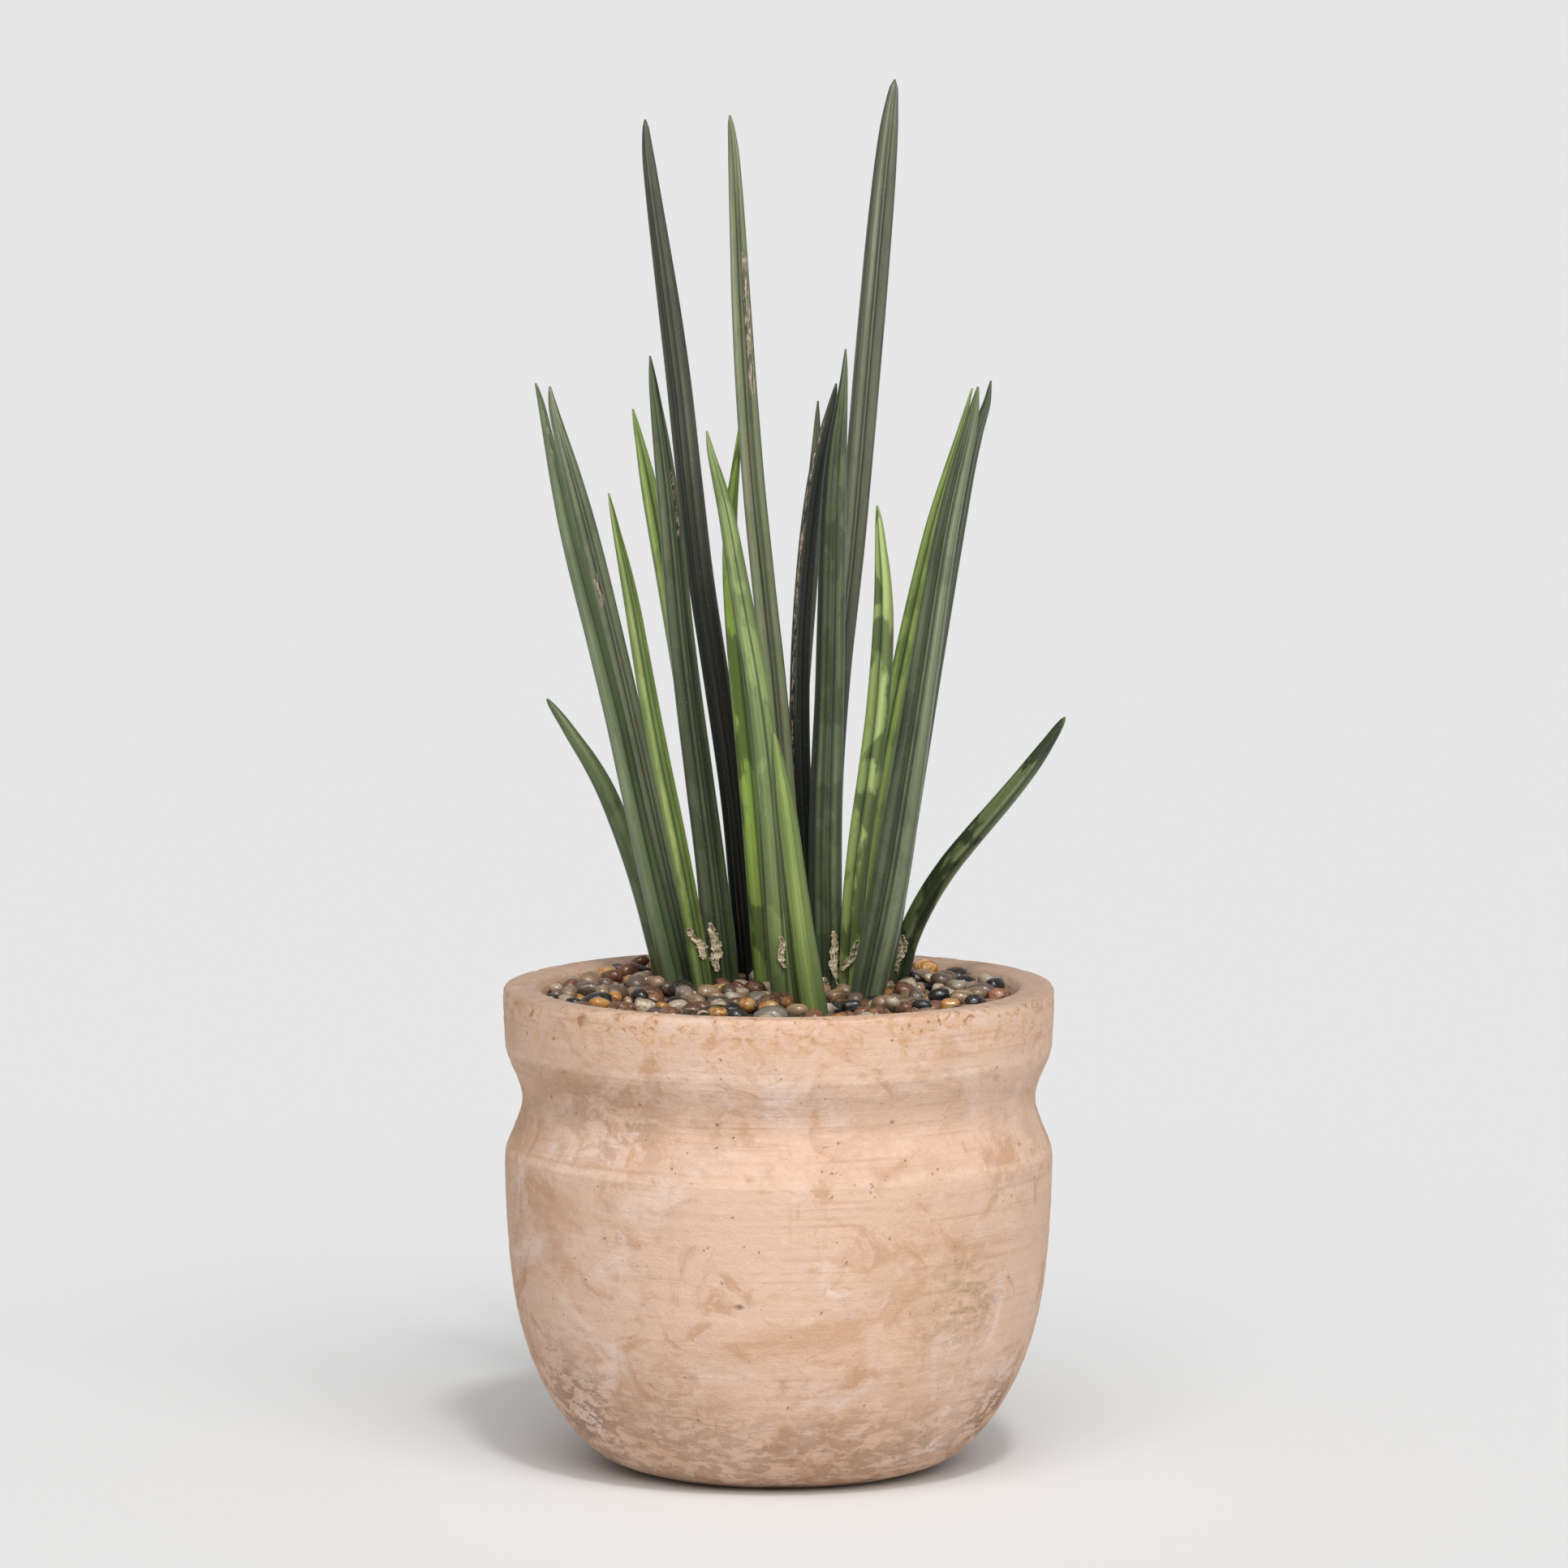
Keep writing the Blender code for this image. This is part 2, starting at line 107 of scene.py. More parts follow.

# Every leaf's skin: its shade, skin and bright colours; stripes along its length as (bearing in degrees,
# half width in degrees, tone from -1 shaded to 1 bright), which paint highlights and shade where the leaf
# faces towards or away from the lamps and darken its edges, together with its own pale and dark lines; the
# strength of its cross-bands; grooves as (bearing, depth, half width), painted with shade; the share of its
# length below which it is painted nearly black as shade deep in the clump; and its scars as (bearing, lowest
# and highest share of the length).  A leaf with a blunter or fuller end has its own tip.
SKINS = {
    "leaf_left_front": dict(
        colours=((0.036, 0.055, 0.022), (0.125, 0.170, 0.080), (0.307, 0.348, 0.210)),
        stripes=((-118, 28, 0.75), (-62, 10, -0.5), (-42, 5, 0.8), (-18, 10, -0.6)),
        bands=0.25, grooves=((-55, 0.06, 7),), deep_shade=0.0, scar=(-70, 0.88, 0.99),
    ),
    "leaf_left_back": dict(
        colours=((0.021, 0.030, 0.016), (0.174, 0.199, 0.115), (0.426, 0.435, 0.296)),
        stripes=((-128, 15, -0.7), (-100, 5, 0.6), (-72, 7, 0.8), (-52, 4, 0.7), (-30, 12, -0.7)),
        bands=0.2, grooves=((-86, 0.10, 7), (-60, 0.09, 6)), deep_shade=0.0, scar=(-95, 0.66, 0.72),
    ),
    "leaf_left_young": dict(
        colours=((0.036, 0.060, 0.016), (0.192, 0.275, 0.068), (0.463, 0.553, 0.183)),
        stripes=((-112, 20, 1.0), (-84, 5, -0.4), (-50, 24, -0.7)),
        bands=0.25, grooves=((-80, 0.06, 7),), deep_shade=0.0, scar=None,
    ),
    "leaf_left_low": dict(
        colours=((0.026, 0.040, 0.016), (0.135, 0.181, 0.070), (0.257, 0.313, 0.114)),
        stripes=((-80, 22, 0.7), (-150, 16, -0.8), (-25, 14, -0.6)),
        bands=0.4, grooves=(), deep_shade=0.0, scar=None, tip=(1.18, 0.030, 0.42),
    ),
    "leaf_inner_left": dict(
        colours=((0.012, 0.017, 0.009), (0.088, 0.112, 0.051), (0.220, 0.251, 0.146)),
        stripes=((-128, 16, 0.75), (-99, 4, -0.9), (-84, 5, 0.45), (-38, 34, -1.0)),
        bands=0.3, grooves=((-97, 0.10, 6), (-72, 0.09, 6), (-45, 0.08, 6)), deep_shade=0.0,
        scar=(-35, 0.73, 0.84),
    ),
    "leaf_inner_left_young": dict(
        colours=((0.030, 0.050, 0.015), (0.186, 0.265, 0.064), (0.414, 0.536, 0.153)),
        stripes=((-122, 15, 0.8), (-88, 6, -0.9), (-60, 9, 0.6), (-73, 4, -0.7)),
        bands=0.25, grooves=((-88, 0.10, 7), (-70, 0.07, 6)), deep_shade=0.0, scar=None,
    ),
    "leaf_tall_left": dict(
        colours=((0.014, 0.016, 0.011), (0.078, 0.081, 0.054), (0.232, 0.234, 0.168)),
        stripes=((-142, 18, -0.7), (-113, 4, -0.9), (-104, 4, 0.9), (-62, 20, 0.5), (-22, 12, -0.8)),
        bands=0.12, grooves=((-113, 0.12, 6), (-85, 0.06, 6)), deep_shade=0.66, scar=None,
        tip=(1.04, 0.026, 0.40),
    ),
    "leaf_centre_young": dict(
        colours=((0.036, 0.058, 0.013), (0.215, 0.320, 0.051), (0.386, 0.528, 0.114)),
        stripes=((-125, 30, 0.7), (-45, 20, -0.7)),
        bands=0.8, grooves=((-70, 0.05, 7),), deep_shade=0.0, scar=None,
    ),
    "leaf_centre_front": dict(
        colours=((0.028, 0.045, 0.016), (0.237, 0.315, 0.110), (0.412, 0.497, 0.197)),
        stripes=((-153, 15, -0.9), (-102, 22, 0.65), (-78, 4, -0.6), (-60, 11, 0.35), (-22, 14, -0.7)),
        bands=0.35, grooves=((-79, 0.05, 5),), deep_shade=0.0, scar=None,
    ),
    "leaf_tall_centre": dict(
        colours=((0.033, 0.040, 0.022), (0.192, 0.215, 0.114), (0.407, 0.424, 0.274)),
        stripes=(
            (-137, 15, 0.85), (-96, 7, -0.9), (-80, 7, 0.35), (-62, 5, -0.8), (-46, 8, 0.5),
            (-18, 8, -0.7), (-168, 6, -0.6),
        ),
        bands=0.12, grooves=((-96, 0.10, 6), (-62, 0.07, 5)), deep_shade=0.0, scar=(-45, 0.70, 0.86),
        tip=(1.0, 0.026, 0.40),
    ),
    "leaf_front_low": dict(
        colours=((0.030, 0.050, 0.014), (0.140, 0.194, 0.047), (0.340, 0.437, 0.128)),
        stripes=((-85, 32, 0.8), (-160, 18, -1.0), (-136, 9, -0.5), (-20, 10, -0.6)),
        bands=0.12, grooves=((-134, 0.03, 7),), deep_shade=0.0, scar=None, tip=(1.18, 0.024, 0.5),
    ),
    "leaf_inner_right": dict(
        colours=((0.017, 0.024, 0.011), (0.112, 0.142, 0.066), (0.292, 0.323, 0.209)),
        stripes=(
            (-148, 30, -1.2), (-117, 4, 0.8), (-94, 13, 0.75), (-73, 4, -0.9), (-56, 12, 0.4),
            (-22, 10, -0.5),
        ),
        bands=0.45, grooves=((-112, 0.09, 6), (-73, 0.07, 5), (-140, 0.06, 6)), deep_shade=0.0, scar=None,
    ),
    "leaf_dark_front": dict(
        colours=((0.006, 0.006, 0.005), (0.035, 0.038, 0.027), (0.264, 0.258, 0.203)),
        stripes=((-140, 4, 0.9), (-118, 12, 0.35), (-60, 30, -0.9)),
        bands=0.1, grooves=((-132, 0.09, 5), (-100, 0.10, 6)), deep_shade=0.62, scar=(-138, 0.30, 0.95),
    ),
    "leaf_dark_back": dict(
        colours=((0.012, 0.015, 0.009), (0.097, 0.111, 0.064), (0.215, 0.239, 0.137)),
        stripes=((-122, 14, 0.5), (-92, 5, -0.8), (-48, 28, -0.7)),
        bands=0.1, grooves=((-92, 0.08, 6),), deep_shade=0.5, scar=(-55, 0.86, 0.95),
    ),
    "leaf_tall_right": dict(
        colours=((0.021, 0.023, 0.016), (0.140, 0.147, 0.098), (0.303, 0.307, 0.216)),
        stripes=(
            (-152, 14, -0.7), (-110, 12, 0.8), (-91, 4, -1.0), (-80, 5, 0.75), (-65, 4, -1.0),
            (-50, 9, 0.4), (-20, 11, -0.8),
        ),
        bands=0.1, grooves=((-91, 0.12, 5), (-65, 0.12, 5)), deep_shade=0.48, scar=None,
        tip=(1.02, 0.026, 0.40),
    ),
    "leaf_right_young": dict(
        colours=((0.033, 0.052, 0.016), (0.312, 0.409, 0.123), (0.484, 0.586, 0.235)),
        stripes=((-137, 12, 0.4), (-108, 6, -0.9), (-80, 22, 0.8), (-26, 14, -0.6)),
        bands=0.8, grooves=((-109, 0.08, 6),), deep_shade=0.0, scar=None,
    ),
    "leaf_right_slim": dict(
        colours=((0.028, 0.048, 0.016), (0.215, 0.299, 0.076), (0.428, 0.536, 0.171)),
        stripes=((-122, 14, 0.7), (-99, 5, -0.9), (-76, 11, 0.6), (-38, 14, -0.6)),
        bands=0.4, grooves=((-99, 0.09, 7),), deep_shade=0.0, scar=None,
    ),
    "leaf_right_broad": dict(
        colours=((0.023, 0.031, 0.015), (0.140, 0.167, 0.089), (0.307, 0.331, 0.210)),
        stripes=(
            (-152, 14, -0.7), (-124, 8, 0.4), (-108, 4, -0.9), (-98, 5, 0.5), (-87, 4, -0.8),
            (-64, 18, 0.65), (-38, 5, -0.5), (-22, 5, 0.6),
        ),
        bands=0.3, grooves=((-135, 0.07, 6), (-108, 0.10, 5), (-87, 0.08, 5)), deep_shade=0.0, scar=None,
    ),
    "leaf_right_back": dict(
        colours=((0.010, 0.012, 0.009), (0.078, 0.092, 0.053), (0.215, 0.237, 0.146)),
        stripes=((-60, 10, 0.5), (-130, 20, -0.6)),
        bands=0.1, grooves=((-75, 0.08, 7),), deep_shade=0.0, scar=None,
    ),
    "leaf_right_arched": dict(
        colours=((0.018, 0.028, 0.012), (0.120, 0.157, 0.057), (0.348, 0.372, 0.221)),
        stripes=((-102, 10, 0.85), (-62, 14, -0.3), (-145, 16, 0.25), (-20, 12, -0.5)),
        bands=1.0, grooves=((-78, 0.06, 7),), deep_shade=0.0, scar=None, tip=(1.20, 0.036, 0.42),
    ),
}

# River stone kinds: first and second colour, share of banded stones, and how many in a hundred.
STONE_KINDS = (
    ((0.395, 0.298, 0.202), (0.487, 0.403, 0.302), 0.10, 10),
    ((0.227, 0.134, 0.071), (0.319, 0.210, 0.126), 0.30, 22),
    ((0.126, 0.046, 0.024), (0.210, 0.092, 0.050), 0.40, 20),
    ((0.088, 0.055, 0.039), (0.151, 0.101, 0.071), 0.45, 18),
    ((0.008, 0.007, 0.006), (0.032, 0.024, 0.021), 0.30, 18),
    ((0.370, 0.139, 0.025), (0.454, 0.260, 0.092), 0.30, 8),
    ((0.185, 0.147, 0.118), (0.260, 0.210, 0.168), 0.30, 4),
)
CREAM, TAN, BROWN, TAUPE, BLACK, ORANGE, GREY = range(7)
NUMBERED_STONES = (
    CREAM, GREY, ORANGE, TAUPE, CREAM, BROWN, TAUPE, TAN, ORANGE, BLACK,
    BLACK, BLACK, BLACK, BROWN, BROWN, BROWN, GREY, ORANGE, TAN, BLACK,
    TAN, CREAM, TAN, ORANGE, BROWN, CREAM, TAN, BLACK, TAUPE, ORANGE,
)

# Dry sheaths: the leaf each clings to, its foot and its top as (x, height), and its width, in mm.
SHEATHS = {
    "dry_sheath_left": ("leaf_left_young", (-32.9, 228.5), (-40.2, 243.5), 3.0),
    "dry_sheath_inner_left": ("leaf_inner_left", (-27.6, 221.5), (-30.6, 244.5), 3.6),
    "dry_sheath_inner_right": ("leaf_inner_right", (27.2, 216.0), (24.2, 243.0), 2.8),
    "dry_sheath_right": ("leaf_right_young", (29.4, 225.0), (37.2, 239.5), 3.0),
    "dry_sheath_arched": ("leaf_right_arched", (53.4, 221.0), (56.4, 238.5), 3.8),
    "dry_sheath_low": ("leaf_inner_right", (21.6, 211.5), (20.4, 221.5), 2.2),
    "dry_sheath_centre": ("leaf_centre_front", (2.2, 228.0), (0.6, 243.0), 2.0),
}


# Shader nodes


def node(tree, kind, sockets=None, **settings):
    """Adds a shader node and fills its sockets with values or with links from other nodes."""
    made = tree.nodes.new("ShaderNode" + kind)
    for name, value in settings.items():
        setattr(made, name, value)
    for name, value in (sockets or {}).items():
        if isinstance(value, bpy.types.NodeSocket):
            tree.links.new(value, made.inputs[name])
        else:
            made.inputs[name].default_value = value
    return made


def maths(tree, operation, first, second=0.0):
    return node(tree, "Math", {0: first, 1: second}, operation=operation).outputs[0]


def product(tree, *values):
    result = values[0]
    for value in values[1:]:
        result = maths(tree, "MULTIPLY", result, value)
    return result


def mix(tree, share, first, second, blend="MIX"):
    """One colour laid over another; share is how much of the second shows."""
    colours = [(*c, 1) if isinstance(c, tuple) and len(c) == 3 else c for c in (first, second)]
    sockets = {0: share, 6: colours[0], 7: colours[1]}
    return node(tree, "Mix", sockets, data_type="RGBA", blend_type=blend).outputs[2]


def fade(tree, value, low, high, start=0.0, end=1.0):
    """Smooth change from start to end as the value goes from low to high."""
    sockets = {"Value": value, "From Min": low, "From Max": high, "To Min": start, "To Max": end}
    return node(tree, "MapRange", sockets, interpolation_type="SMOOTHSTEP").outputs["Result"]


def written(tree, name):
    """What is written on a mesh's corners under a name."""
    return node(tree, "Attribute", attribute_name=name, attribute_type="GEOMETRY")


def stretched(tree, place, factors):
    return node(tree, "VectorMath", {0: place, 1: factors}, operation="MULTIPLY").outputs[0]


def clouds(tree, place, scale, detail=3.0, roughness=0.55, twist=0.0):
    """Noise from 0 to 1 with so many lumps per metre."""
    sockets = {"Vector": place, "Scale": scale, "Detail": detail, "Roughness": roughness}
    sockets["Distortion"] = twist
    return node(tree, "TexNoise", sockets).outputs["Fac"]


def around(tree, place, centre, reach):
    """1 at a centre, falling to 0 at the reach."""
    away = node(tree, "VectorMath", {0: place, 1: centre}, operation="DISTANCE").outputs["Value"]
    return fade(tree, away, reach, 0.0)


def facing(tree, direction, towards, least):
    """1 where two unit directions are the same, falling to 0 where their cosine is the least."""
    lined_up = node(tree, "VectorMath", {0: direction, 1: towards}, operation="DOT_PRODUCT")
    return fade(tree, lined_up.outputs["Value"], least, 1.0)


def new_material(name):
    """A material with an empty Principled shader, as (material, tree, shader)."""
    material = bpy.data.materials.new(name)
    material.use_nodes = True
    return material, material.node_tree, material.node_tree.nodes["Principled BSDF"]


def bumped(tree, shader, height, distance):
    bump = node(tree, "Bump", {"Height": height, "Strength": 1.0, "Distance": distance})
    tree.links.new(bump.outputs["Normal"], shader.inputs["Normal"])


def new_group(name, inputs, outputs):
    """A shared effect, as (its tree, the sockets that its inputs come from, those its outputs go to)."""
    group = bpy.data.node_groups.new(name, "ShaderNodeTree")
    for socket, kind in inputs.items():
        group.interface.new_socket(socket, in_out="INPUT", socket_type="NodeSocket" + kind)
    for socket, kind in outputs.items():
        group.interface.new_socket(socket, in_out="OUTPUT", socket_type="NodeSocket" + kind)
    entry = group.nodes.new("NodeGroupInput")
    return group, entry.outputs, group.nodes.new("NodeGroupOutput").inputs


def compass(bearing):
    """Unit vector, level, at a bearing in degrees from +X."""
    return math.cos(math.radians(bearing)), math.sin(math.radians(bearing)), 0.0


# Meshes


def finish_piece(name, shape, material, replaced):
    """Turns a bmesh into a smooth piece that rides on the root body."""
    bmesh.ops.recalc_face_normals(shape, faces=shape.faces)
    mesh = bpy.data.meshes.new(name)
    shape.to_mesh(mesh)
    shape.free()
    mesh.shade_smooth()
    mesh.materials.append(material)
    piece = bpy.data.objects.new(name, mesh)
    bpy.context.scene.collection.objects.link(piece)
    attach(piece, "root")
    if replaced:
        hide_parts(*replaced)


def merged_copy(name):
    """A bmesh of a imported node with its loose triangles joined."""
    shape = bmesh.new()
    shape.from_mesh(nodes[name].data)
    bmesh.ops.remove_doubles(shape, verts=shape.verts, dist=1e-5)
    return shape


def even_points(points, spacing):
    """Points at an even spacing along a polyline."""
    result = [points[0]]
    left = spacing
    for near, far in zip(points, points[1:]):
        length = (far - near).length
        done = 0.0
        while length - done >= left:
            done += left
            result.append(near.lerp(far, done / length))
            left = spacing
        left -= length - done
    result.append(points[-1])
    return result


def rounded(points, rounds):
    """Cuts the corners of an open polyline, keeping its ends."""
    for _ in range(rounds):
        cut = [points[0]]
        for near, far in zip(points, points[1:]):
            cut += [near.lerp(far, 0.25), near.lerp(far, 0.75)]
        points = [*cut, points[-1]]
    return points


# Clay pot


def pot_outline():
    """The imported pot's profile as (radius, height): up its outside, over the rim and down its inside."""
    shape = merged_copy("pot")
    seam = {corner for corner in shape.verts if abs(corner.co.y) < 1e-5 and corner.co.x > 0}
    start = max((corner for corner in seam if corner.co.z < 1e-4), key=lambda corner: corner.co.x)
    walk = [start]
    while True:
        beside = [edge.other_vert(walk[-1]) for edge in walk[-1].link_edges]
        ahead = [corner for corner in beside if corner in seam and corner not in walk[-2:]]
        if walk[-1] is start:
            ahead.sort(key=lambda corner: -corner.co.z)
        if not ahead or ahead[0] is start:
            break
        walk.append(ahead[0])
    outline = [Vector((corner.co.x, corner.co.z)) for corner in walk]
    shape.free()
    return outline


def thrown_surface(place):
    """How far the clay stands out from the even profile at a place on the outside."""
    angle = math.atan2(place.y, place.x)
    level = Vector((math.cos(angle), math.sin(angle), 0))
    out = WOBBLE * noise.noise(level * 1.4 + Vector((0, 0, place.z * 9)))
    out += THROWING_LINES * noise.noise(level * 0.9 + Vector((0, 5, place.z * 330)))
    out += 0.5 * THROWING_LINES * noise.noise(level * 2.1 + Vector((3, 0, place.z * 900)))
    for bead in BEADS:
        faint = 0.6 + 0.8 * noise.noise(level * 1.7 + Vector((bead * 50, 0, 0)))
        out += BEAD_HEIGHT * faint * math.exp(-(((place.z - bead) / 0.0013) ** 2))
    edge = max(0.0, 1 - abs(place.z - POT_TOP) / 0.006)
    chip = max(0.0, noise.noise(place * 95) - 0.25)
    low = max(0.0, 1 - place.z / 0.06)
    scuff = max(0.0, noise.noise(place * Vector((60, 60, 110))) - 0.3)
    return out - RIM_WEAR * edge * chip * 2.2 - 0.0006 * low * scuff


def build_pot():
    outline = pot_outline()
    rim = max(i for i, point in enumerate(outline) if point.y > POT_TOP - 0.0045)
    profile = even_points(rounded(outline[: rim + 1], 2), POT_ROW) + outline[rim + 1 :]
    shape = bmesh.new()
    corners = [shape.verts.new((point.x, 0, point.y)) for point in profile]
    edges = [shape.edges.new((corners[i - 1], corners[i])) for i in range(len(corners))]
    bmesh.ops.spin(
        shape, geom=corners + edges, axis=(0, 0, 1), cent=(0, 0, 0),
        angle=math.tau, steps=POT_SIDES, use_merge=True,
    )
    bmesh.ops.remove_doubles(shape, verts=shape.verts, dist=1e-6)
    bmesh.ops.recalc_face_normals(shape, faces=shape.faces)
    shape.normal_update()
    reach = outline[0].x
    for corner in shape.verts:
        radius = corner.co.xy.length
        outward = corner.normal.dot(Vector((*corner.co.xy, 0))) > -0.02 * radius
        if corner.co.z > 0.0005 and radius > reach and outward:
            corner.co += corner.normal * thrown_surface(corner.co)
    finish_piece("clay_pot", shape, clay_material(), ["pot"])


def mark(tree, place, spot, squash=1.0):
    """1 at the middle of a mark on the clay, falling to 0 at its reach; squash makes it lower than wide."""
    (x, y, height), reach = spot
    return around(tree, stretched(tree, place, (1, 1, squash)), (x, y, height * squash), reach)


def clay_ground(tree, place):
    """Pinkish tan clay with ochre stains and lime bloom, as (colour, stains)."""
    stains = clouds(tree, stretched(tree, place, (1, 1, 1.5)), 14, 6, 0.62, 0.6)
    stained = fade(tree, stains, 0.50, 0.72)
    colour = mix(tree, stained, (0.705, 0.485, 0.360), (0.57, 0.350, 0.222))
    ochre = clouds(tree, place, 37, 5, 0.65, 0.9)
    colour = mix(tree, fade(tree, ochre, 0.53, 0.66, 0, 0.75), colour, (0.52, 0.30, 0.175))
    bloom = clouds(tree, stretched(tree, place, (1, 1, 1.2)), 19, 5, 0.6, 1.2)
    bloomed = fade(tree, bloom, 0.52, 0.72, 0, 0.7)
    return mix(tree, bloomed, colour, (0.80, 0.64, 0.57)), stains


def wheel_lines(tree, place, colour):
    """Level lines left by the wheel, broken up, and drips that run down, as (colour, lines)."""
    wheel = clouds(tree, stretched(tree, place, (7, 7, 420)), 1, 4, 0.6)
    broken = clouds(tree, place, 25, 3, 0.6)
    wheeled = product(tree, fade(tree, wheel, 0.50, 0.70), fade(tree, broken, 0.42, 0.60, 0.12, 0.62))
    colour = mix(tree, wheeled, colour, (0.52, 0.32, 0.21))
    drips = clouds(tree, stretched(tree, place, (150, 150, 5)), 1, 3, 0.5)
    where = clouds(tree, place, 12, 2, 0.5)
    dripping = product(tree, fade(tree, drips, 0.55, 0.75), fade(tree, where, 0.48, 0.62, 0, 0.42))
    return mix(tree, dripping, colour, (0.52, 0.33, 0.22)), wheel


def neck_marks(tree, place, height, dirt, colour):
    """Dirt caught in the neck, and a speckled stain on it."""
    below_band = fade(tree, height, NECK_TOP + 0.001, NECK_TOP - 0.006)
    above_belly = fade(tree, height, NECK_BOTTOM - 0.002, NECK_BOTTOM + 0.005)
    dirty = product(tree, below_band, above_belly, fade(tree, dirt, 0.44, 0.64, 0.0, 0.42))
    colour = mix(tree, dirty, colour, (0.50, 0.315, 0.21))
    speckled = product(tree, mark(tree, place, NECK_STAIN, 1.5), fade(tree, dirt, 0.44, 0.56, 0, 0.75))
    return mix(tree, speckled, colour, (0.45, 0.26, 0.16))


def lip_marks(tree, place, height, colour):
    """Rusty scales under the lip, and dark crumbs at its edge."""
    scales = clouds(tree, stretched(tree, place, (1, 1, 1.3)), 150, 5, 0.7, 0.8)
    near_lip = fade(tree, height, POT_TOP - 0.026, POT_TOP - 0.008)
    lip = product(tree, near_lip, fade(tree, scales, 0.47, 0.60, 0, 0.75))
    colour = mix(tree, lip, colour, (0.62, 0.36, 0.19))
    at_lip = fade(tree, height, POT_TOP - 0.014, POT_TOP - 0.004)
    crumbled = product(tree, at_lip, fade(tree, scales, 0.58, 0.64, 0, 0.85))
    return mix(tree, crumbled, colour, (0.33, 0.18, 0.11))


def bead_highlights_and_rim_shade(tree, place, height, dirt, colour):
    """Painted highlights on the beads above and below the neck, and painted shade on the rim's top,
    deepening away from its front.
    """
    # Painted highlights along the beads, where their ridges catch the light, broken up by the dirt noise.
    for bead in BEADS:
        upper = fade(tree, height, bead + 0.0026, bead + 0.0008)
        lower = fade(tree, height, bead - 0.0026, bead - 0.0008)
        bead_highlight = product(tree, upper, lower, fade(tree, dirt, 0.35, 0.6, 0.45, 0.1))
        colour = mix(tree, bead_highlight, colour, (0.82, 0.62, 0.47))
    # Painted shade on the rim's top, darker towards the back.
    depth = node(tree, "SeparateXYZ", {"Vector": place}).outputs["Y"]
    on_top = fade(tree, height, POT_TOP - 0.0035, POT_TOP - 0.001)
    top = product(tree, on_top, fade(tree, depth, -0.118, -0.06))
    return mix(tree, product(tree, top, 0.72), colour, (0.45, 0.315, 0.24))


def foot_scuffs(tree, place, height, scuffs, colour):
    """Dark scuffs round the foot, heaviest at both sides, as (colour, scuffs)."""
    foot = fade(tree, height, 0.062, 0.012)
    sides = maths(tree, "MAXIMUM", mark(tree, place, LEFT_SCUFF), mark(tree, place, RIGHT_SCUFF))
    worn = maths(tree, "MAXIMUM", product(tree, foot, 0.55), sides)
    scuffed = product(tree, worn, fade(tree, scuffs, 0.46, 0.60))
    return mix(tree, product(tree, scuffed, 0.85), colour, (0.34, 0.185, 0.110)), scuffed


def belly_marks(tree, place, dirt, scuffs, colour):
    """A warm patch, two brown stains, moss and a nick on the belly, as (colour, nick)."""
    warmed = product(tree, mark(tree, place, WARM_PATCH), fade(tree, dirt, 0.36, 0.62, 0.25, 0.75))
    colour = mix(tree, warmed, colour, (0.56, 0.35, 0.215))
    browned = maths(tree, "MAXIMUM", mark(tree, place, FOOT_STAIN), mark(tree, place, BELLY_STAIN))
    browned = product(tree, browned, fade(tree, scuffs, 0.42, 0.62, 0.15, 0.75))
    colour = mix(tree, browned, colour, (0.47, 0.285, 0.18))
    moss = product(tree, mark(tree, place, MOSS_PATCH), fade(tree, scuffs, 0.42, 0.62))
    colour = mix(tree, product(tree, moss, 0.85), colour, (0.36, 0.245, 0.135))
    nick = mark(tree, place, NICK, 1.6)
    return mix(tree, product(tree, nick, 0.8), colour, (0.15, 0.10, 0.09)), nick


def clay_grain(tree, place, dirt, colour):
    """Patchy flecks, sandy grain and pits, as (colour, flecks, grain, pits)."""
    flecks = clouds(tree, stretched(tree, place, (1, 1, 1.5)), 170, 7, 0.75, 0.7)
    patchy = fade(tree, clouds(tree, place, 21, 3, 0.6, 0.5), 0.42, 0.60, 0.15, 1.0)
    flecked = product(tree, patchy, fade(tree, flecks, 0.53, 0.62, 0, 0.45))
    colour = mix(tree, flecked, colour, (0.50, 0.30, 0.19))
    colour = mix(tree, fade(tree, flecks, 0.46, 0.36, 0, 0.22), colour, (0.86, 0.69, 0.58))
    grain = clouds(tree, place, 900, 3, 0.7)
    colour = mix(tree, fade(tree, grain, 0.60, 0.74, 0, 0.35), colour, (0.50, 0.31, 0.21))
    colour = mix(tree, fade(tree, grain, 0.38, 0.28, 0, 0.35), colour, (0.86, 0.68, 0.56))
    pits = clouds(tree, place, 330, 2, 0.5)
    pitted = product(tree, fade(tree, pits, 0.69, 0.74), fade(tree, dirt, 0.48, 0.60))
    return mix(tree, product(tree, pitted, 0.8), colour, (0.30, 0.17, 0.11)), flecks, grain, pitted


